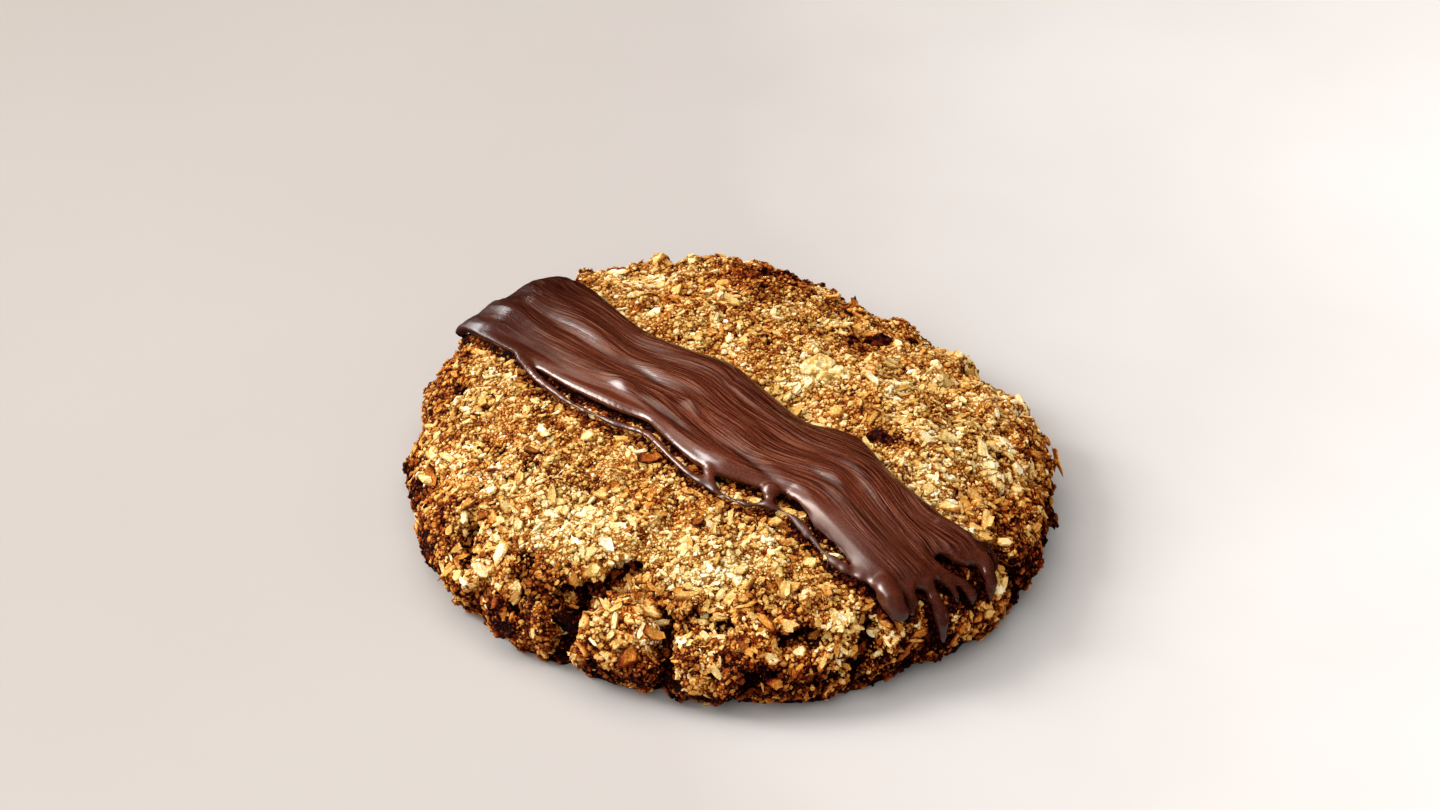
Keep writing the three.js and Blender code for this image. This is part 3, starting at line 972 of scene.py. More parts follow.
@dataclass
class CrumbCover:
    """All the loose-looking grains that cover the body, one piece for each kind."""

    dough: DoughField = DoughField()
    stain_and_shade: ChocolateStainAndShade = ChocolateStainAndShade()
    clearance: float = 0.12
    own_reach: float = 0.45
    shelter: float = 4.0
    floor_gap: float = 0.02
    lowest_site: float = 0.5
    lowest_facing: float = -0.75
    upright_limit: float = 0.9
    bury: Pair = (-0.12, 0.06)
    burnt_drop: float = 0.3
    burnt_warmth: float = 0.4
    warmth_spread: float = 0.32
    tone_limits: Pair = (0.0, 0.97)
    hollow_limits: Pair = (0.15, 0.8)
    crack_share: float = 0.82
    flake_patch: float = 6.0
    flake_shift: float = 61.0
    flake_level: Pair = (-0.02, 0.2)
    near_lean: float = 0.25
    near_reach: float = 30.0
    wall_thinning: float = 0.22
    kinds: tuple[Grain, ...] = (
        Grain(
            "fine_crumbs", GrainShape.CHIP, count=16500, length=(0.26, 0.52), slimness=(0.65, 1.0),
            height=(0.4, 0.7), tilt_deg=24, lift=0.1, tone=(0.705, 0.1), wall_tone=-0.32, seed=5,
            painted_foot_shade=0.22,
        ),
        Grain(
            "coarse_crumbs", GrainShape.CHIP, count=9500, length=(0.36, 0.95), slimness=(0.5, 1.0),
            height=(0.3, 0.55), tilt_deg=22, lift=0.1, tone=(0.725, 0.1), wall_tone=-0.29, seed=6,
            sides=5, painted_foot_shade=0.24,
        ),
        Grain(
            "soft_crumbs", GrainShape.LUMP, count=9600, length=(0.38, 0.85), slimness=(0.65, 1.0),
            height=(0.5, 0.8), tilt_deg=30, lift=0.05, tone=(0.775, 0.1), wall_tone=-0.29, seed=10,
            smooth=True,
        ),
        Grain(
            "chopped_nut", GrainShape.CHIP, count=3200, length=(0.55, 1.4), slimness=(0.45, 0.85),
            height=(0.25, 0.42), tilt_deg=18, lift=0.1, tone=(0.77, 0.09), wall_tone=-0.18, seed=7,
            sides=6, in_patches=True, variants=18, painted_foot_shade=0.25,
        ),
        Grain(
            "oat_flakes", GrainShape.FLAKE, count=4800, length=(0.6, 1.9), slimness=(0.4, 0.8),
            height=(0.1, 0.18), tilt_deg=16, lift=0.5, tone=(0.785, 0.09), wall_tone=-0.12, seed=8,
            sides=7, in_patches=True, variants=18, painted_foot_shade=0.35,
        ),
        Grain(
            "nut_slivers", GrainShape.FLAKE, count=2400, length=(0.7, 2.1), slimness=(0.22, 0.38),
            height=(0.1, 0.16), tilt_deg=16, lift=0.5, tone=(0.8, 0.09), wall_tone=-0.08, seed=9,
            sides=6, in_patches=True,
        ),
        Grain(
            "large_flakes", GrainShape.FLAKE, count=1500, length=(1.2, 3.0), slimness=(0.3, 0.62),
            height=(0.12, 0.2), tilt_deg=26, lift=0.45, tone=(0.785, 0.1), wall_tone=-0.12, seed=12,
            sides=9, in_patches=True, variants=24, painted_foot_shade=0.4, raggedness=(0.6, 1.25),
        ),
    )

    def build(
        self, body: bpy.types.Object, cover: BVHTree, larger: BVHTree, nut: bpy.types.Material
    ) -> list[bpy.types.Object]:
        """Strew every kind of grain over the body, clear of the chocolate and the larger pieces.

        Args:
            body: The cookie's body piece.
            cover: The chocolate's surface.
            larger: The surface of the larger pieces in the crust.
            nut: Finish of the grains.

        Returns:
            One piece for each kind.
        """
        return [self._strew(kind, body.data, cover, larger, nut) for kind in self.kinds]

    def _strew(
        self, kind: Grain, mesh: bpy.types.Mesh, cover: BVHTree, larger: BVHTree, nut: bpy.types.Material
    ) -> bpy.types.Object:
        """Make one kind of grain as a single joined piece.

        Args:
            kind: The grain to make.
            mesh: The body's mesh.
            cover: The chocolate's surface.
            larger: The surface of the larger pieces in the crust.
            nut: Finish of the grains.

        Returns:
            The new piece.
        """
        rng = np.random.default_rng(kind.seed)
        sites, normals = self._sites(kind, mesh, rng)
        scale = kind.sizes(rng)
        browning_and_shade, warmth, wall = self.dough.browning_and_shade(sites)
        keep = self._clear(kind, sites, wall, rng)
        for surface in (cover, larger):
            keep &= self._uncovered(sites, normals, scale[:, 1], surface)
        burnt = rng.random(kind.count) < kind.burnt_share
        tone = rng.normal(*kind.tone, kind.count) + browning_and_shade + kind.wall_tone * wall
        tone -= self.stain_and_shade.loss(sites, cover) + self.burnt_drop * burnt
        warmth = warmth + rng.normal(0.0, self.warmth_spread, kind.count) + self.burnt_warmth * burnt
        sites = sites + normals * (kind.lift * scale[:, 2] + rng.uniform(*self.bury, kind.count))[:, None]
        turn = self._turns(normals, kind.tilt_deg, rng)
        variant = rng.integers(0, kind.variants, kind.count)
        places, faces, tones, warmths, total = [], [], [], [], 0
        for number in range(kind.variants):
            rows, corners, depth = kind.template(rng)
            chosen = np.nonzero(keep & (variant == number))[0]
            laid = np.einsum("nij,nkj->nki", turn[chosen], rows[None] * scale[chosen][:, None, :])
            places.append((laid + sites[chosen][:, None, :]).reshape(-1, 3))
            first = total + np.arange(len(chosen)) * len(rows)
            faces.append((corners[None] + first[:, None, None]).reshape(-1, 3))
            # Painted shade: each grain darkens towards its foot, where it meets the dough
            tones.append((tone[chosen][:, None] - kind.painted_foot_shade * depth).ravel())
            warmths.append(np.repeat(warmth[chosen], len(rows)))
            total += len(chosen) * len(rows)
        joined = bpy.data.meshes.new(kind.name)
        places = np.concatenate(places)
        places[:, 2] = np.maximum(places[:, 2], self.floor_gap)
        joined.from_pydata((places * MM).tolist(), [], np.concatenate(faces).tolist())
        store_values(joined, "tone", np.clip(np.concatenate(tones), *self.tone_limits))
        store_values(joined, "warmth", np.clip(np.concatenate(warmths), 0.0, 1.0))
        joined.polygons.foreach_set("use_smooth", np.full(len(joined.polygons), kind.smooth))
        return add_piece(kind.name, joined, nut)

    def _sites(
        self, kind: Grain, mesh: bpy.types.Mesh, rng: np.random.Generator
    ) -> tuple[np.ndarray, np.ndarray]:
        """Spread sites evenly over the upper surface of the body.

        Args:
            kind: The grain to spread.
            mesh: The body's mesh.
            rng: Seeded source of chance.

        Returns:
            Places and surface normals.
        """
        places = vertex_array(mesh)
        smooth = np.empty(len(places) * 3)
        mesh.attributes["smooth_normal"].data.foreach_get("vector", smooth)
        smooth = smooth.reshape(-1, 3)
        mesh.calc_loop_triangles()
        corners = np.empty(len(mesh.loop_triangles) * 3, dtype=np.int32)
        mesh.loop_triangles.foreach_get("vertices", corners)
        corners = corners.reshape(-1, 3)
        high = places[corners].mean(axis=1)[:, 2] > self.lowest_site
        facing = smooth[corners].mean(axis=1)[:, 2] > self.lowest_facing
        corners = corners[facing & high]
        first, second, third = (places[corners[:, i]] for i in range(3))
        area = np.linalg.norm(np.cross(second - first, third - first), axis=1)
        stretch = np.cumsum(area) / area.sum()
        pick = np.searchsorted(stretch, (np.arange(kind.count) + rng.random(kind.count)) / kind.count)
        pick = np.minimum(pick, len(corners) - 1)
        weights = rng.dirichlet((1, 1, 1), kind.count)[:, :, None]
        sites = (places[corners[pick]] * weights).sum(axis=1)
        normals = (smooth[corners[pick]] * weights).sum(axis=1)
        return sites, normals / np.linalg.norm(normals, axis=1)[:, None]

    def _clear(
        self, kind: Grain, sites: np.ndarray, wall: np.ndarray, rng: np.random.Generator
    ) -> np.ndarray:
        """Choose the sites that lie clear of cracks and hollows, and in the kind's own patches.

        Args:
            kind: The grain to spread.
            sites: Rows of x, y, z.
            wall: Share of the side wall at each site.
            rng: Seeded source of chance.

        Returns:
            True for each site that is kept.
        """
        inside = self.dough.cracks(self.dough.crust.plan(sites))[1]
        hollow = np.maximum(inside * self.crack_share, self.dough.voids(sites, wall))
        keep = hollow < rng.uniform(*self.hollow_limits, kind.count)
        if kind.in_patches:
            thick = noise_field(sites, self.flake_patch, self.flake_shift) - self.wall_thinning * wall
            thick -= self.near_lean * np.clip(sites[:, 1] / self.near_reach, -1, 1)
            keep &= thick > rng.normal(*self.flake_level, kind.count)
        return keep

    def _uncovered(
        self, sites: np.ndarray, normals: np.ndarray, width: np.ndarray, surface: BVHTree
    ) -> np.ndarray:
        """Choose the sites that another piece neither touches nor covers.

        Args:
            sites: Rows of x, y, z.
            normals: Surface normals.
            width: Width of the grain at each site.
            surface: The other piece's surface.

        Returns:
            True for each site that is kept.
        """
        keep = np.ones(len(sites), dtype=bool)
        for i, (site, normal) in enumerate(zip(sites, normals)):
            near = surface.find_nearest(Vector(site), self.clearance + self.own_reach * width[i])[0]
            over = surface.ray_cast(Vector(site), Vector(normal), self.shelter)[0]
            keep[i] = near is None and over is None
        return keep

    def _turns(self, normals: np.ndarray, tilt_deg: float, rng: np.random.Generator) -> np.ndarray:
        """Turn each grain at random on the surface and tip it a little.

        Args:
            normals: Surface normals.
            tilt_deg: Largest tip away from lying flat.
            rng: Seeded source of chance.

        Returns:
            One rotation matrix for each grain.
        """
        count = len(normals)
        steep = np.abs(normals[:, 2:]) < self.upright_limit
        first = np.cross(np.where(steep, [[0.0, 0.0, 1.0]], [[1.0, 0.0, 0.0]]), normals)
        first /= np.linalg.norm(first, axis=1)[:, None]
        second = np.cross(normals, first)
        heading = rng.uniform(0, 2 * np.pi, count)[:, None]
        along = np.cos(heading) * first + np.sin(heading) * second
        aside = np.cos(heading) * second - np.sin(heading) * first
        tip = np.radians(rng.uniform(-tilt_deg, tilt_deg, count))[:, None]
        tipped = np.cos(tip) * along + np.sin(tip) * normals
        upright = np.cos(tip) * normals - np.sin(tip) * along
        return np.stack([tipped, aside, upright], axis=2)


@dataclass(frozen=True)
class Inclusion:
    """A larger piece of nut or dried fruit at a plan point: its size, heading and shade."""

    middle: Pair
    size: Triple
    heading_deg: float
    tone: float
    warmth: float


@dataclass
class BeddedPieces:
    """The few pieces of nut and fruit that are large enough to stand out in the crust.

    The crags are the width and rise of ever finer lumps.
    """

    crust: CrustMap = CrustMap()
    pieces: tuple[Inclusion, ...] = (
        Inclusion((11.6, 7.8), (4.6, 3.0, 1.3), 35, 0.74, 0.1),
        Inclusion((14.0, 6.4), (3.2, 2.4, 1.3), -25, 0.79, 0.0),
        Inclusion((12.8, 5.6), (3.0, 1.6, 1.1), 10, 0.68, 0.2),
        Inclusion((18.8, 15.6), (5.2, 2.4, 1.8), 10, 0.1, 0.3),
        Inclusion((18.0, -6.1), (2.6, 1.7, 1.5), -45, 0.06, 0.8),
        Inclusion((25.5, 11.0), (2.4, 1.6, 1.2), 60, 0.84, 0.3),
        Inclusion((-27.6, -13.0), (2.6, 1.5, 1.0), 20, 0.82, 0.4),
    )
    fineness: int = 4
    crags: tuple[Pair, ...] = ((1.5, 0.45), (0.7, 0.42), (0.34, 0.2))
    crag_shift: float = 7.0
    tone_size: float = 0.7
    tone_shift: float = 3.0
    tone_swing: float = 0.3
    tone_limits: Pair = (0.0, 0.95)
    sunk: float = 0.12
    drop_height: float = 30.0

    def build(self, ground: BVHTree, material: bpy.types.Material) -> bpy.types.Object:
        """Bed every piece in the body.

        Args:
            ground: The body's surface.
            material: Chopped nut.

        Returns:
            The new piece.
        """
        lump = bmesh.new()
        bmesh.ops.create_icosphere(lump, subdivisions=self.fineness, radius=0.5)
        lump.verts.index_update()
        rows = np.array([v.co for v in lump.verts])
        corners = np.array([[v.index for v in f.verts] for f in lump.faces])
        lump.free()
        places, tones, warmths = [], [], []
        for number, piece in enumerate(self.pieces):
            turn = math.radians(piece.heading_deg)
            along = np.array([math.cos(turn), math.sin(turn), 0.0])
            aside = np.array([-math.sin(turn), math.cos(turn), 0.0])
            sized = rows * piece.size
            for size, rise in self.crags:
                sized = sized + rows * 2 * rise * noise_field(sized, size, self.crag_shift * number)[:, None]
            x, y = (axis + middle for axis, middle in zip(self.crust.axis, piece.middle))
            touch = ground.ray_cast(Vector((x, y, self.drop_height)), Vector((0, 0, -1)))[0]
            foot = np.array(touch) - (0, 0, self.sunk)
            places.append(foot + sized[:, :1] * along + sized[:, 1:2] * aside + sized[:, 2:] * (0, 0, 1))
            uneven = noise_field(sized, self.tone_size, self.tone_shift + number)
            tones.append(piece.tone + self.tone_swing * uneven)
            warmths.append(np.full(len(rows), piece.warmth))
        faces = np.concatenate([corners + number * len(rows) for number in range(len(self.pieces))])
        mesh = bpy.data.meshes.new("bedded_pieces")
        mesh.from_pydata((np.concatenate(places) * MM).tolist(), [], faces.tolist())
        store_values(mesh, "tone", np.clip(np.concatenate(tones), *self.tone_limits))
        store_values(mesh, "warmth", np.concatenate(warmths))
        return add_piece("bedded_pieces", mesh, material)


@dataclass(frozen=True)
class StrokeNoise:
    """Unevenness drawn out along the stroke: its width, its length, its own shift and its rise."""

    width: float
    length: float
    shift: float
    rise: float = 1.0

    def at(self, lines: np.ndarray) -> np.ndarray:
        """Sample it at stroke coordinates."""
        return self.rise * noise_field(lines, (self.width, self.length, 1.0), self.shift)


@dataclass(frozen=True)
class Spot:
    """A soft-edged place on the band: along and aside in plan, its length, its width and its strength."""

    along: float
    aside: float
    length: float
    width: float
    strength: float

    def share(self, along: np.ndarray, left: np.ndarray) -> np.ndarray:
        """Give 1 in the middle of the spot, fading to 0 round it."""
        return np.exp(-(((along - self.along) / self.length) ** 2) - ((left - self.aside) / self.width) ** 2)


@dataclass(frozen=True)
class StrokeField:
    """How each vertex of the spread lies in the stroke, and how far it belongs to each part of it."""

    places: np.ndarray
    along: np.ndarray
    across: np.ndarray
    left: np.ndarray
    lines: np.ndarray
    crest: np.ndarray
    on_band: np.ndarray
    outward: np.ndarray
    drips: np.ndarray
    thread: np.ndarray


@dataclass
class ChocolateSpread:
    """The combed band with its drips and bead: a smooth copy of the solid with ridges along the stroke.

    The edges are rows of distance along the band, its near edge and its far edge. The lip bulges are rows of
    distance along the band, reach and rise. A lip is its middle and its reach across the band, and lip_rise
    is for the near lip and the far one. A pair that ends in from, fade or facing is where a step starts and
    ends.
    """

    crust: CrustMap = CrustMap()
    voxel: float = 0.22
    smoothing: int = 6
    webbing: float = 0.16
    edges: tuple[Triple, ...] = (
        (-44, -10, 6.5),
        (-38, -10.3, 5.6),
        (-30, -11.8, 3.2),
        (-22, -12.5, 1.8),
        (-15, -12.8, 1.7),
        (-8, -11.2, 3.4),
        (-2, -9.7, 5.6),
        (4, -10.4, 4.8),
        (10, -9.7, 4.4),
        (15, -7, 6.9),
        (18, -5.4, 6.3),
        (23, -6.3, 4.8),
        (30, -7, 5.6),
        (37, -6.4, 7.8),
    )
    edge_stations: int = 200
    edge_easing: int = 25
    half_width: float = 7.0
    top_facing: Pair = (-0.05, 0.4)
    edge_fade: Pair = (0.85, 1.1)
    band_fade: Pair = (29.5, 34.5)
    combed_from: Pair = (-0.85, -0.45)
    sway: StrokeNoise = StrokeNoise(5.0, 9.0, 31.0, 0.9)
    ridges: tuple[StrokeNoise, ...] = (
        StrokeNoise(4.4, 9.0, 14.2, 0.1),
        StrokeNoise(1.4, 13.0, 5.3, 0.08),
        StrokeNoise(0.6, 14.0, 9.1, 0.08),
    )
    furrows: StrokeNoise = StrokeNoise(1.7, 13.0, 1.7)
    furrow_level: float = 0.25
    furrow_rise: float = 0.12
    folds: int = 4
    fold_drift: StrokeNoise = StrokeNoise(9.0, 12.0, 77.0, 0.6)
    fold_rise: float = 0.09
    fold_level: float = 0.6
    fold_strength: float = 0.65
    fold_swing: StrokeNoise = StrokeNoise(6.0, 11.0, 63.0, 0.7)
    fold_fade: Pair = (0.0, 0.7)
    fold_shade: float = 0.4
    lip_facing: Pair = (-0.5, 0.3)
    lip_swell: StrokeNoise = StrokeNoise(20.0, 5.0, 17.0)
    near_lip: Pair = (-0.93, 0.13)
    far_lip: Pair = (0.95, 0.1)
    lip_rise: Pair = (0.16, 0.1)
    lip_bulges: tuple[Triple, ...] = (
        (-23.0, 6.0, 0.2),
        (-6.5, 5.5, 0.8),
        (16.0, 2.4, 0.8),
        (24.5, 4.5, -0.4),
        (31.0, 2.0, 0.3),
    )
    knolls: tuple[Spot, ...] = (
        Spot(-14.7, -3.0, 3.4, 1.6, 0.6),
        Spot(-7.5, -7.2, 2.0, 0.85, 0.65),
        Spot(0.3, -4.3, 1.8, 0.78, 0.85),
        Spot(9.0, -7.6, 4.5, 1.3, 0.3),
        Spot(26.0, -4.6, 7.0, 1.2, 0.25),
        Spot(-6.7, -2.5, 4.0, 0.6, 0.12),
        Spot(12.3, -4.0, 3.2, 0.6, 0.25),
        Spot(17.3, -0.2, 1.6, 0.7, 0.3),
    )
    creases: tuple[Spot, ...] = (
        Spot(1.0, -7.2, 5.0, 0.7, 0.35),
        Spot(-20.0, -10.0, 7.0, 0.6, 0.25),
        Spot(-7.0, -4.0, 4.0, 0.5, 0.2),
        Spot(11.5, -5.4, 3.5, 0.5, 0.25),
        Spot(17.0, -1.6, 2.2, 0.5, 0.25),
        Spot(-24.0, -5.0, 8.0, 0.5, 0.15),
        Spot(24.0, -2.2, 6.0, 0.5, 0.15),
        Spot(4.0, 2.6, 8.0, 0.5, 0.2),
    )
    crease_shade: float = 0.9
    far_dusk: float = 0.45
    far_dusk_from: Pair = (-0.3, 0.9)
    far_shade: float = 0.9
    far_shade_from: Pair = (0.72, 1.0)
    start_shade: float = 0.8
    start_fade: Pair = (-24.0, -8.0)
    end_shade: float = 0.4
    end_from: Pair = (18.0, 30.0)
    drip_shade: float = 0.75
    drips_from: Pair = (31.0, 36.0)
    drip_swell: float = 0.22
    knob_size: float = 2.4
    knob_shift: float = 3.0
    knob_rise: Pair = (0.14, 0.42)
    lumpy_from: Pair = (14.0, 24.0)
    drop_size: float = 1.0
    drop_shift: float = 9.0
    drop_rise: float = 0.24
    thread_from: Pair = (-1.1, -1.25)
    thread_size: float = 1.4
    thread_shift: float = 19.0
    thread_swing: float = 0.22
    thread_shade: float = 0.6
    thread_dull: float = 0.3
    dull_spots: tuple[Spot, ...] = (
        Spot(24.0, -6.5, 5.5, 3.0, 1.0),
        Spot(-33.5, -7.5, 3.0, 3.0, 0.2),
    )
    start_roll: Pair = (-35.0, -30.0)
    relaxing: float = 0.6
    roll_rounds: int = 24

    def build(self, node: bpy.types.Object, material: bpy.types.Material) -> bpy.types.Object:
        """Make the spread and put it in the solid's place.

        Args:
            node: The chocolate's solid.
            material: Set chocolate.

        Returns:
            The new piece.
        """
        mesh = even_mesh(node, "chocolate_spread", self.voxel, self.smoothing, self.webbing)
        places = vertex_array(mesh)
        along, across = self._flow(places)
        rolled = 1 - smoothstep(*self.start_roll, along)
        move_vertices(mesh, relax(mesh, places, self.relaxing * rolled, self.roll_rounds))
        lie = self._lie(mesh, along, across)
        lift = self._ridges(lie) * lie.on_band + self._lips(lie) + self._knobs(lie)
        move_vertices(mesh, lie.places + vertex_array(mesh, normals=True) * lift[:, None])
        store_values(mesh, "flow", lie.lines)
        store_values(mesh, "combed", lie.on_band * smoothstep(*self.combed_from, across))
        # Painted shade in the folds, creases, far side and drips; the ends and the thread are only darker
        store_values(mesh, "shade_and_darkening", self._shade_and_darkening(lie))
        dulled = [spot.strength * spot.share(along, lie.left) for spot in self.dull_spots]
        store_values(mesh, "dull", np.maximum.reduce([self.thread_dull * lie.thread, *dulled]))
        piece = add_piece("chocolate_spread", mesh, material)
        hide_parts("chocolate")
        return piece

    def _flow(self, places: np.ndarray) -> tuple[np.ndarray, np.ndarray]:
        """Lay coordinates along and across the stroke.

        Args:
            places: Rows of x, y, z.

        Returns:
            Distance along the band, and the share across it from -1 at its near edge to 1 at its far edge.
        """
        plan = self.crust.plan(places)
        along, left = (plan @ axis for axis in band_axes())
        table = np.array(self.edges)
        stations = np.linspace(table[0, 0], table[-1, 0], self.edge_stations)
        window = np.hanning(self.edge_easing + 2)[1:-1]
        window /= window.sum()
        eased = []
        for edge in (table[:, 1], table[:, 2]):
            traced = np.pad(np.interp(stations, table[:, 0], edge), self.edge_easing // 2, mode="edge")
            eased.append(np.interp(along, stations, np.convolve(traced, window, mode="valid")))
        near, far = eased
        return along, (2 * left - near - far) / (far - near)

    def _lie(self, mesh: bpy.types.Mesh, along: np.ndarray, across: np.ndarray) -> StrokeField:
        """Find how each vertex lies in the stroke.

        Args:
            mesh: The spread's mesh with its start rolled round.
            along: Distance of each vertex along the band.
            across: Share of each vertex across the band.

        Returns:
            The lie of every vertex.
        """
        places = vertex_array(mesh)
        facing = vertex_array(mesh, normals=True)[:, 2]
        lines = np.stack([across * self.half_width, along, np.zeros(len(along))], axis=1)
        lines[:, 0] += self.sway.at(lines)
        on_band = (1 - smoothstep(*self.edge_fade, np.abs(across))) * smoothstep(*self.top_facing, facing)
        on_band *= 1 - smoothstep(*self.band_fade, along)
        phase = (across + 1) / 2 * self.folds + self.fold_drift.at(lines)
        drips = smoothstep(*self.drips_from, along)
        return StrokeField(
            places=places,
            along=along,
            across=across,
            left=self.crust.plan(places) @ band_axes()[1],
            lines=lines,
            crest=np.abs(np.sin(np.pi * phase)),
            on_band=on_band,
            outward=smoothstep(*self.lip_facing, facing),
            drips=drips,
            thread=smoothstep(*self.thread_from, across) * (1 - drips),
        )

    def _ridges(self, lie: StrokeField) -> np.ndarray:
        """Raise the comb's ridges, the folds and the knolls, and press in the creases.

        Args:
            lie: The lie of every vertex.

        Returns:
            Height of each vertex over the plain band.
        """
        ridges = sum(ridge.at(lie.lines) for ridge in self.ridges)
        ridges += self.furrow_rise * (np.abs(self.furrows.at(lie.lines)) - self.furrow_level)
        uneven = self.fold_strength + self.fold_swing.at(lie.lines)
        ridges += self.fold_rise * (lie.crest - self.fold_level) * uneven
        for knoll in self.knolls:
            ridges += knoll.strength * knoll.share(lie.along, lie.left)
        for crease in self.creases:
            ridges -= crease.strength * crease.share(lie.along, lie.left)
        return ridges

    def _lips(self, lie: StrokeField) -> np.ndarray:
        """Swell the lips that flowed out from under the comb.

        Args:
            lie: The lie of every vertex.

        Returns:
            Height of each vertex over the plain edge.
        """
        swell = self.lip_rise[0] * (1 + self.lip_swell.at(lie.lines))
        for middle, reach, rise in self.lip_bulges:
            swell += rise * bell(lie.along, middle, reach)
        lips = swell * bell(lie.across, *self.near_lip) * lie.outward
        return lips + self.lip_rise[1] * bell(lie.across, *self.far_lip) * lie.outward

    def _knobs(self, lie: StrokeField) -> np.ndarray:
        """Make the edges lumpy, the drips full and the thread uneven.

        Args:
            lie: The lie of every vertex.

        Returns:
            Height of each vertex over the plain form.
        """
        lumpy = smoothstep(*self.lumpy_from, lie.along)
        off_band = 1 - lie.on_band
        knobs = between(self.knob_rise, lumpy) * noise_field(lie.places, self.knob_size, self.knob_shift)
        knobs *= off_band
        knobs += self.drop_rise * noise_field(lie.places, self.drop_size, self.drop_shift) * lumpy * off_band
        knobs += self.drip_swell * lie.drips
        beads = noise_field(lie.places, self.thread_size, self.thread_shift)
        return knobs + self.thread_swing * beads * lie.thread

    def _shade_and_darkening(self, lie: StrokeField) -> np.ndarray:
        """Darken folds, creases, the far side, both ends, the drips and the thread; painted shade except at
        the ends and thread.

        Args:
            lie: The lie of every vertex.

        Returns:
            Darkness of each vertex, from 0 to 1.
        """
        shades = [
            self.fold_shade * (1.0 - smoothstep(*self.fold_fade, lie.crest)) * lie.on_band,
            self.far_dusk * smoothstep(*self.far_dusk_from, lie.across),
            self.far_shade * smoothstep(*self.far_shade_from, lie.across),
            self.start_shade * (1 - smoothstep(*self.start_fade, lie.along)),
            self.end_shade * smoothstep(*self.end_from, lie.along),
            self.drip_shade * lie.drips,
            self.thread_shade * lie.thread,
        ]
        shades += [self.crease_shade * crease.share(lie.along, lie.left) for crease in self.creases]
        return np.maximum.reduce(shades)


class LightUse(Enum):
    """What a studio light does: it may light the crumb, show in the chocolate's gloss, or both."""

    KEY = "lights and shows in gloss"
    FILL = "lights only"
    CARD = "shows in gloss only"


@dataclass(frozen=True)
class SoftLight:
    """A rectangular studio softbox, placed and aimed in millimetres."""

    name: str
    place: Triple
    size: Pair
    power: float
    use: LightUse = LightUse.KEY
    tint: str = "#ffffff"
    aim: Triple = (0.0, 0.0, 8.0)

    def build(self) -> None:
        """Hang the light in the scene."""
        lamp = bpy.data.lights.new(self.name, "AREA")
        lamp.shape = "RECTANGLE"
        lamp.size, lamp.size_y = (side * MM for side in self.size)
        lamp.energy = self.power
        lamp.color = linear(self.tint)[:3]
        holder = bpy.data.objects.new(self.name, lamp)
        holder.location = Vector(self.place) * MM
        holder.rotation_euler = (Vector(self.aim) - Vector(self.place)).to_track_quat("-Z", "Y").to_euler()
        holder.visible_glossy = self.use is not LightUse.FILL
        holder.visible_diffuse = self.use is not LightUse.CARD
        holder.visible_camera = False
        bpy.context.scene.collection.objects.link(holder)


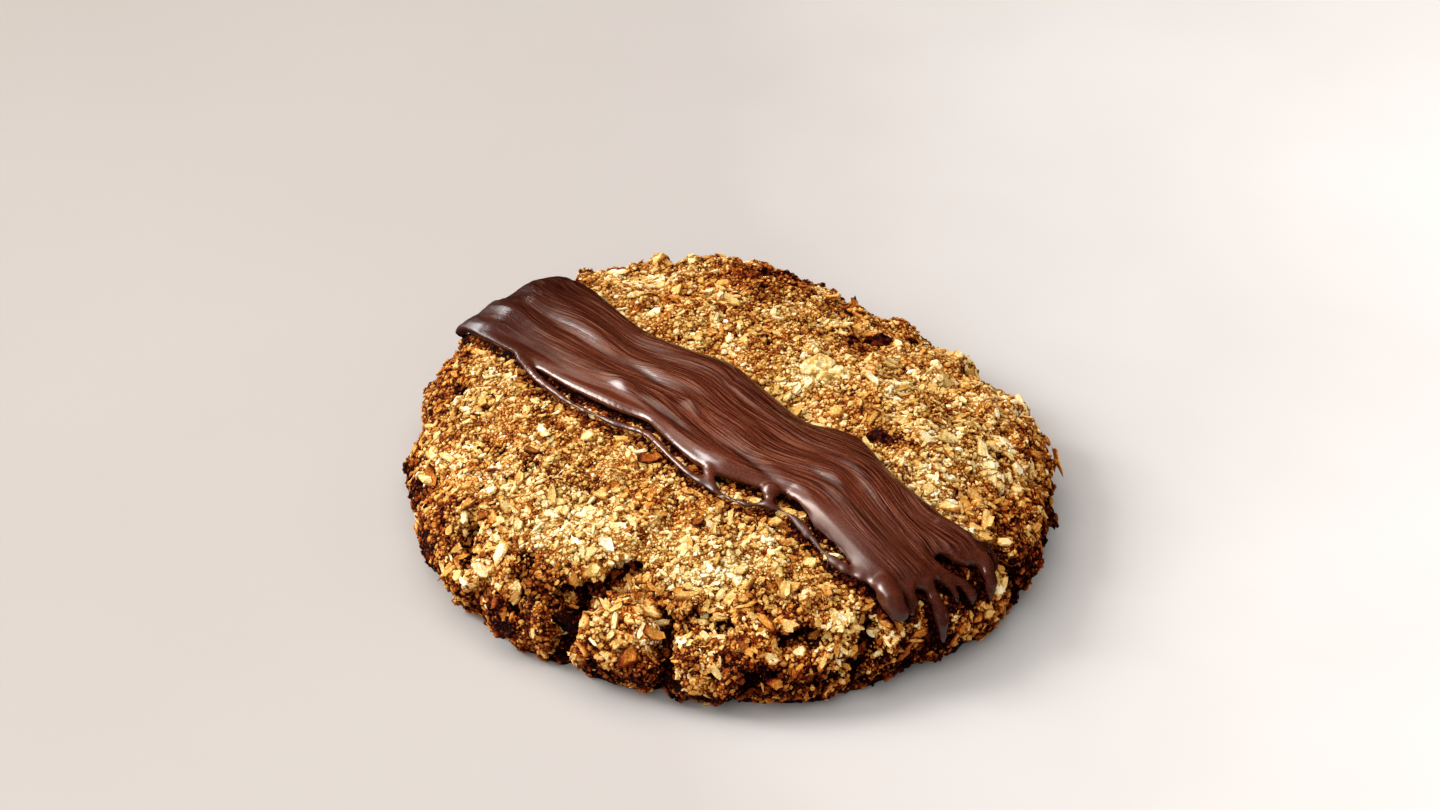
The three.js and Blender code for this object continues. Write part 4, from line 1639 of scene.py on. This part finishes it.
@dataclass
class Studio:
    """Floor, soft light and camera."""

    floor_side: float = 3000.0
    lens: float = 85.0
    sensor: float = 36.0
    nearest: float = 10.0
    pitch_deg: float = 36.0
    distance: float = 418.0
    aim: Triple = (-0.97, 18.38, 0.0)
    air: str = "#f4f1ec"
    ambient: float = 0.07
    lights: tuple[SoftLight, ...] = (
        SoftLight("ceiling bounce", (-90, -100, 500), (700, 900), 4.0, LightUse.FILL),
        SoftLight("front fill", (-120, -510, 280), (600, 300), 1.0, LightUse.FILL),
        SoftLight("right bounce", (460, -120, 260), (500, 300), 0.45, LightUse.FILL),
        SoftLight("left softbox", (-660, 40, 540), (330, 330), 6.8),
        SoftLight("sheen panel", (-400, 380, 720), (480, 480), 2.1, tint="#ffdcc4"),
        SoftLight("low left card", (-620, -90, 170), (420, 230), 6.5, LightUse.CARD, "#ffeee0"),
        SoftLight("middle left card", (-640, -30, 340), (420, 200), 6.5, LightUse.CARD, "#ffeee0"),
        SoftLight("back left card", (-480, 460, 30), (420, 90), 1.1, LightUse.CARD),
        SoftLight("table card", (-80, -165, 0.3), (520, 270), 0.2, LightUse.CARD, aim=(-80, -165, 9)),
    )

    def build(self, floor_material: bpy.types.Material) -> None:
        """Set up the floor, the lights, the surroundings and the camera.

        Args:
            floor_material: Finish of the floor.
        """
        mesh = bpy.data.meshes.new("floor")
        plane = bmesh.new()
        bmesh.ops.create_grid(plane, x_segments=1, y_segments=1, size=self.floor_side / 2 * MM)
        plane.to_mesh(mesh)
        plane.free()
        mesh.materials.append(floor_material)
        floor = bpy.data.objects.new("floor", mesh)
        bpy.context.scene.collection.objects.link(floor)
        floor.visible_glossy = False
        for light in self.lights:
            light.build()
        world = bpy.data.worlds.new("studio air")
        bpy.context.scene.world = world
        world.use_nodes = True
        background = world.node_tree.nodes["Background"].inputs
        background["Color"].default_value = linear(self.air)
        background["Strength"].default_value = self.ambient
        world.cycles_visibility.glossy = False
        bpy.context.scene.view_settings.view_transform = "Standard"
        self._camera()

    def _camera(self) -> None:
        """Place the camera above the near edge, looking down at the cookie."""
        lens = bpy.data.cameras.new("camera")
        lens.lens = self.lens
        lens.sensor_width = self.sensor
        lens.clip_start = self.nearest * MM
        camera = bpy.data.objects.new("camera", lens)
        pitch = math.radians(self.pitch_deg)
        back = Vector((0.0, -math.cos(pitch), math.sin(pitch)))
        camera.location = (Vector(self.aim) + back * self.distance) * MM
        camera.rotation_euler = (math.pi / 2 - pitch, 0.0, 0.0)
        bpy.context.scene.collection.objects.link(camera)
        bpy.context.scene.camera = camera


def main() -> None:
    """Build the cookie, its chocolate and the studio in order."""
    logging.basicConfig(level=logging.INFO, format="%(name)s: %(message)s")
    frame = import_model()
    dough = BakedDough().material()
    nut = BakedDough(
        "almond and oat, chopped and toasted", swing=0.06, joint_drop=0.1, relief_mm=0.05
    ).material()
    chocolate = ChocolateSpread().build(frame["nodes"]["chocolate"], SetChocolate().material())
    cover = surface_tree(chocolate.data)
    body = CookieBody().build(frame["nodes"]["cookie"], cover, dough)
    bedded = BeddedPieces().build(surface_tree(body.data), nut)
    CrumbCover().build(body, cover, surface_tree(bedded.data), nut)
    Studio().build(PaleFloor().material())


if __name__ == "__main__":
    main()
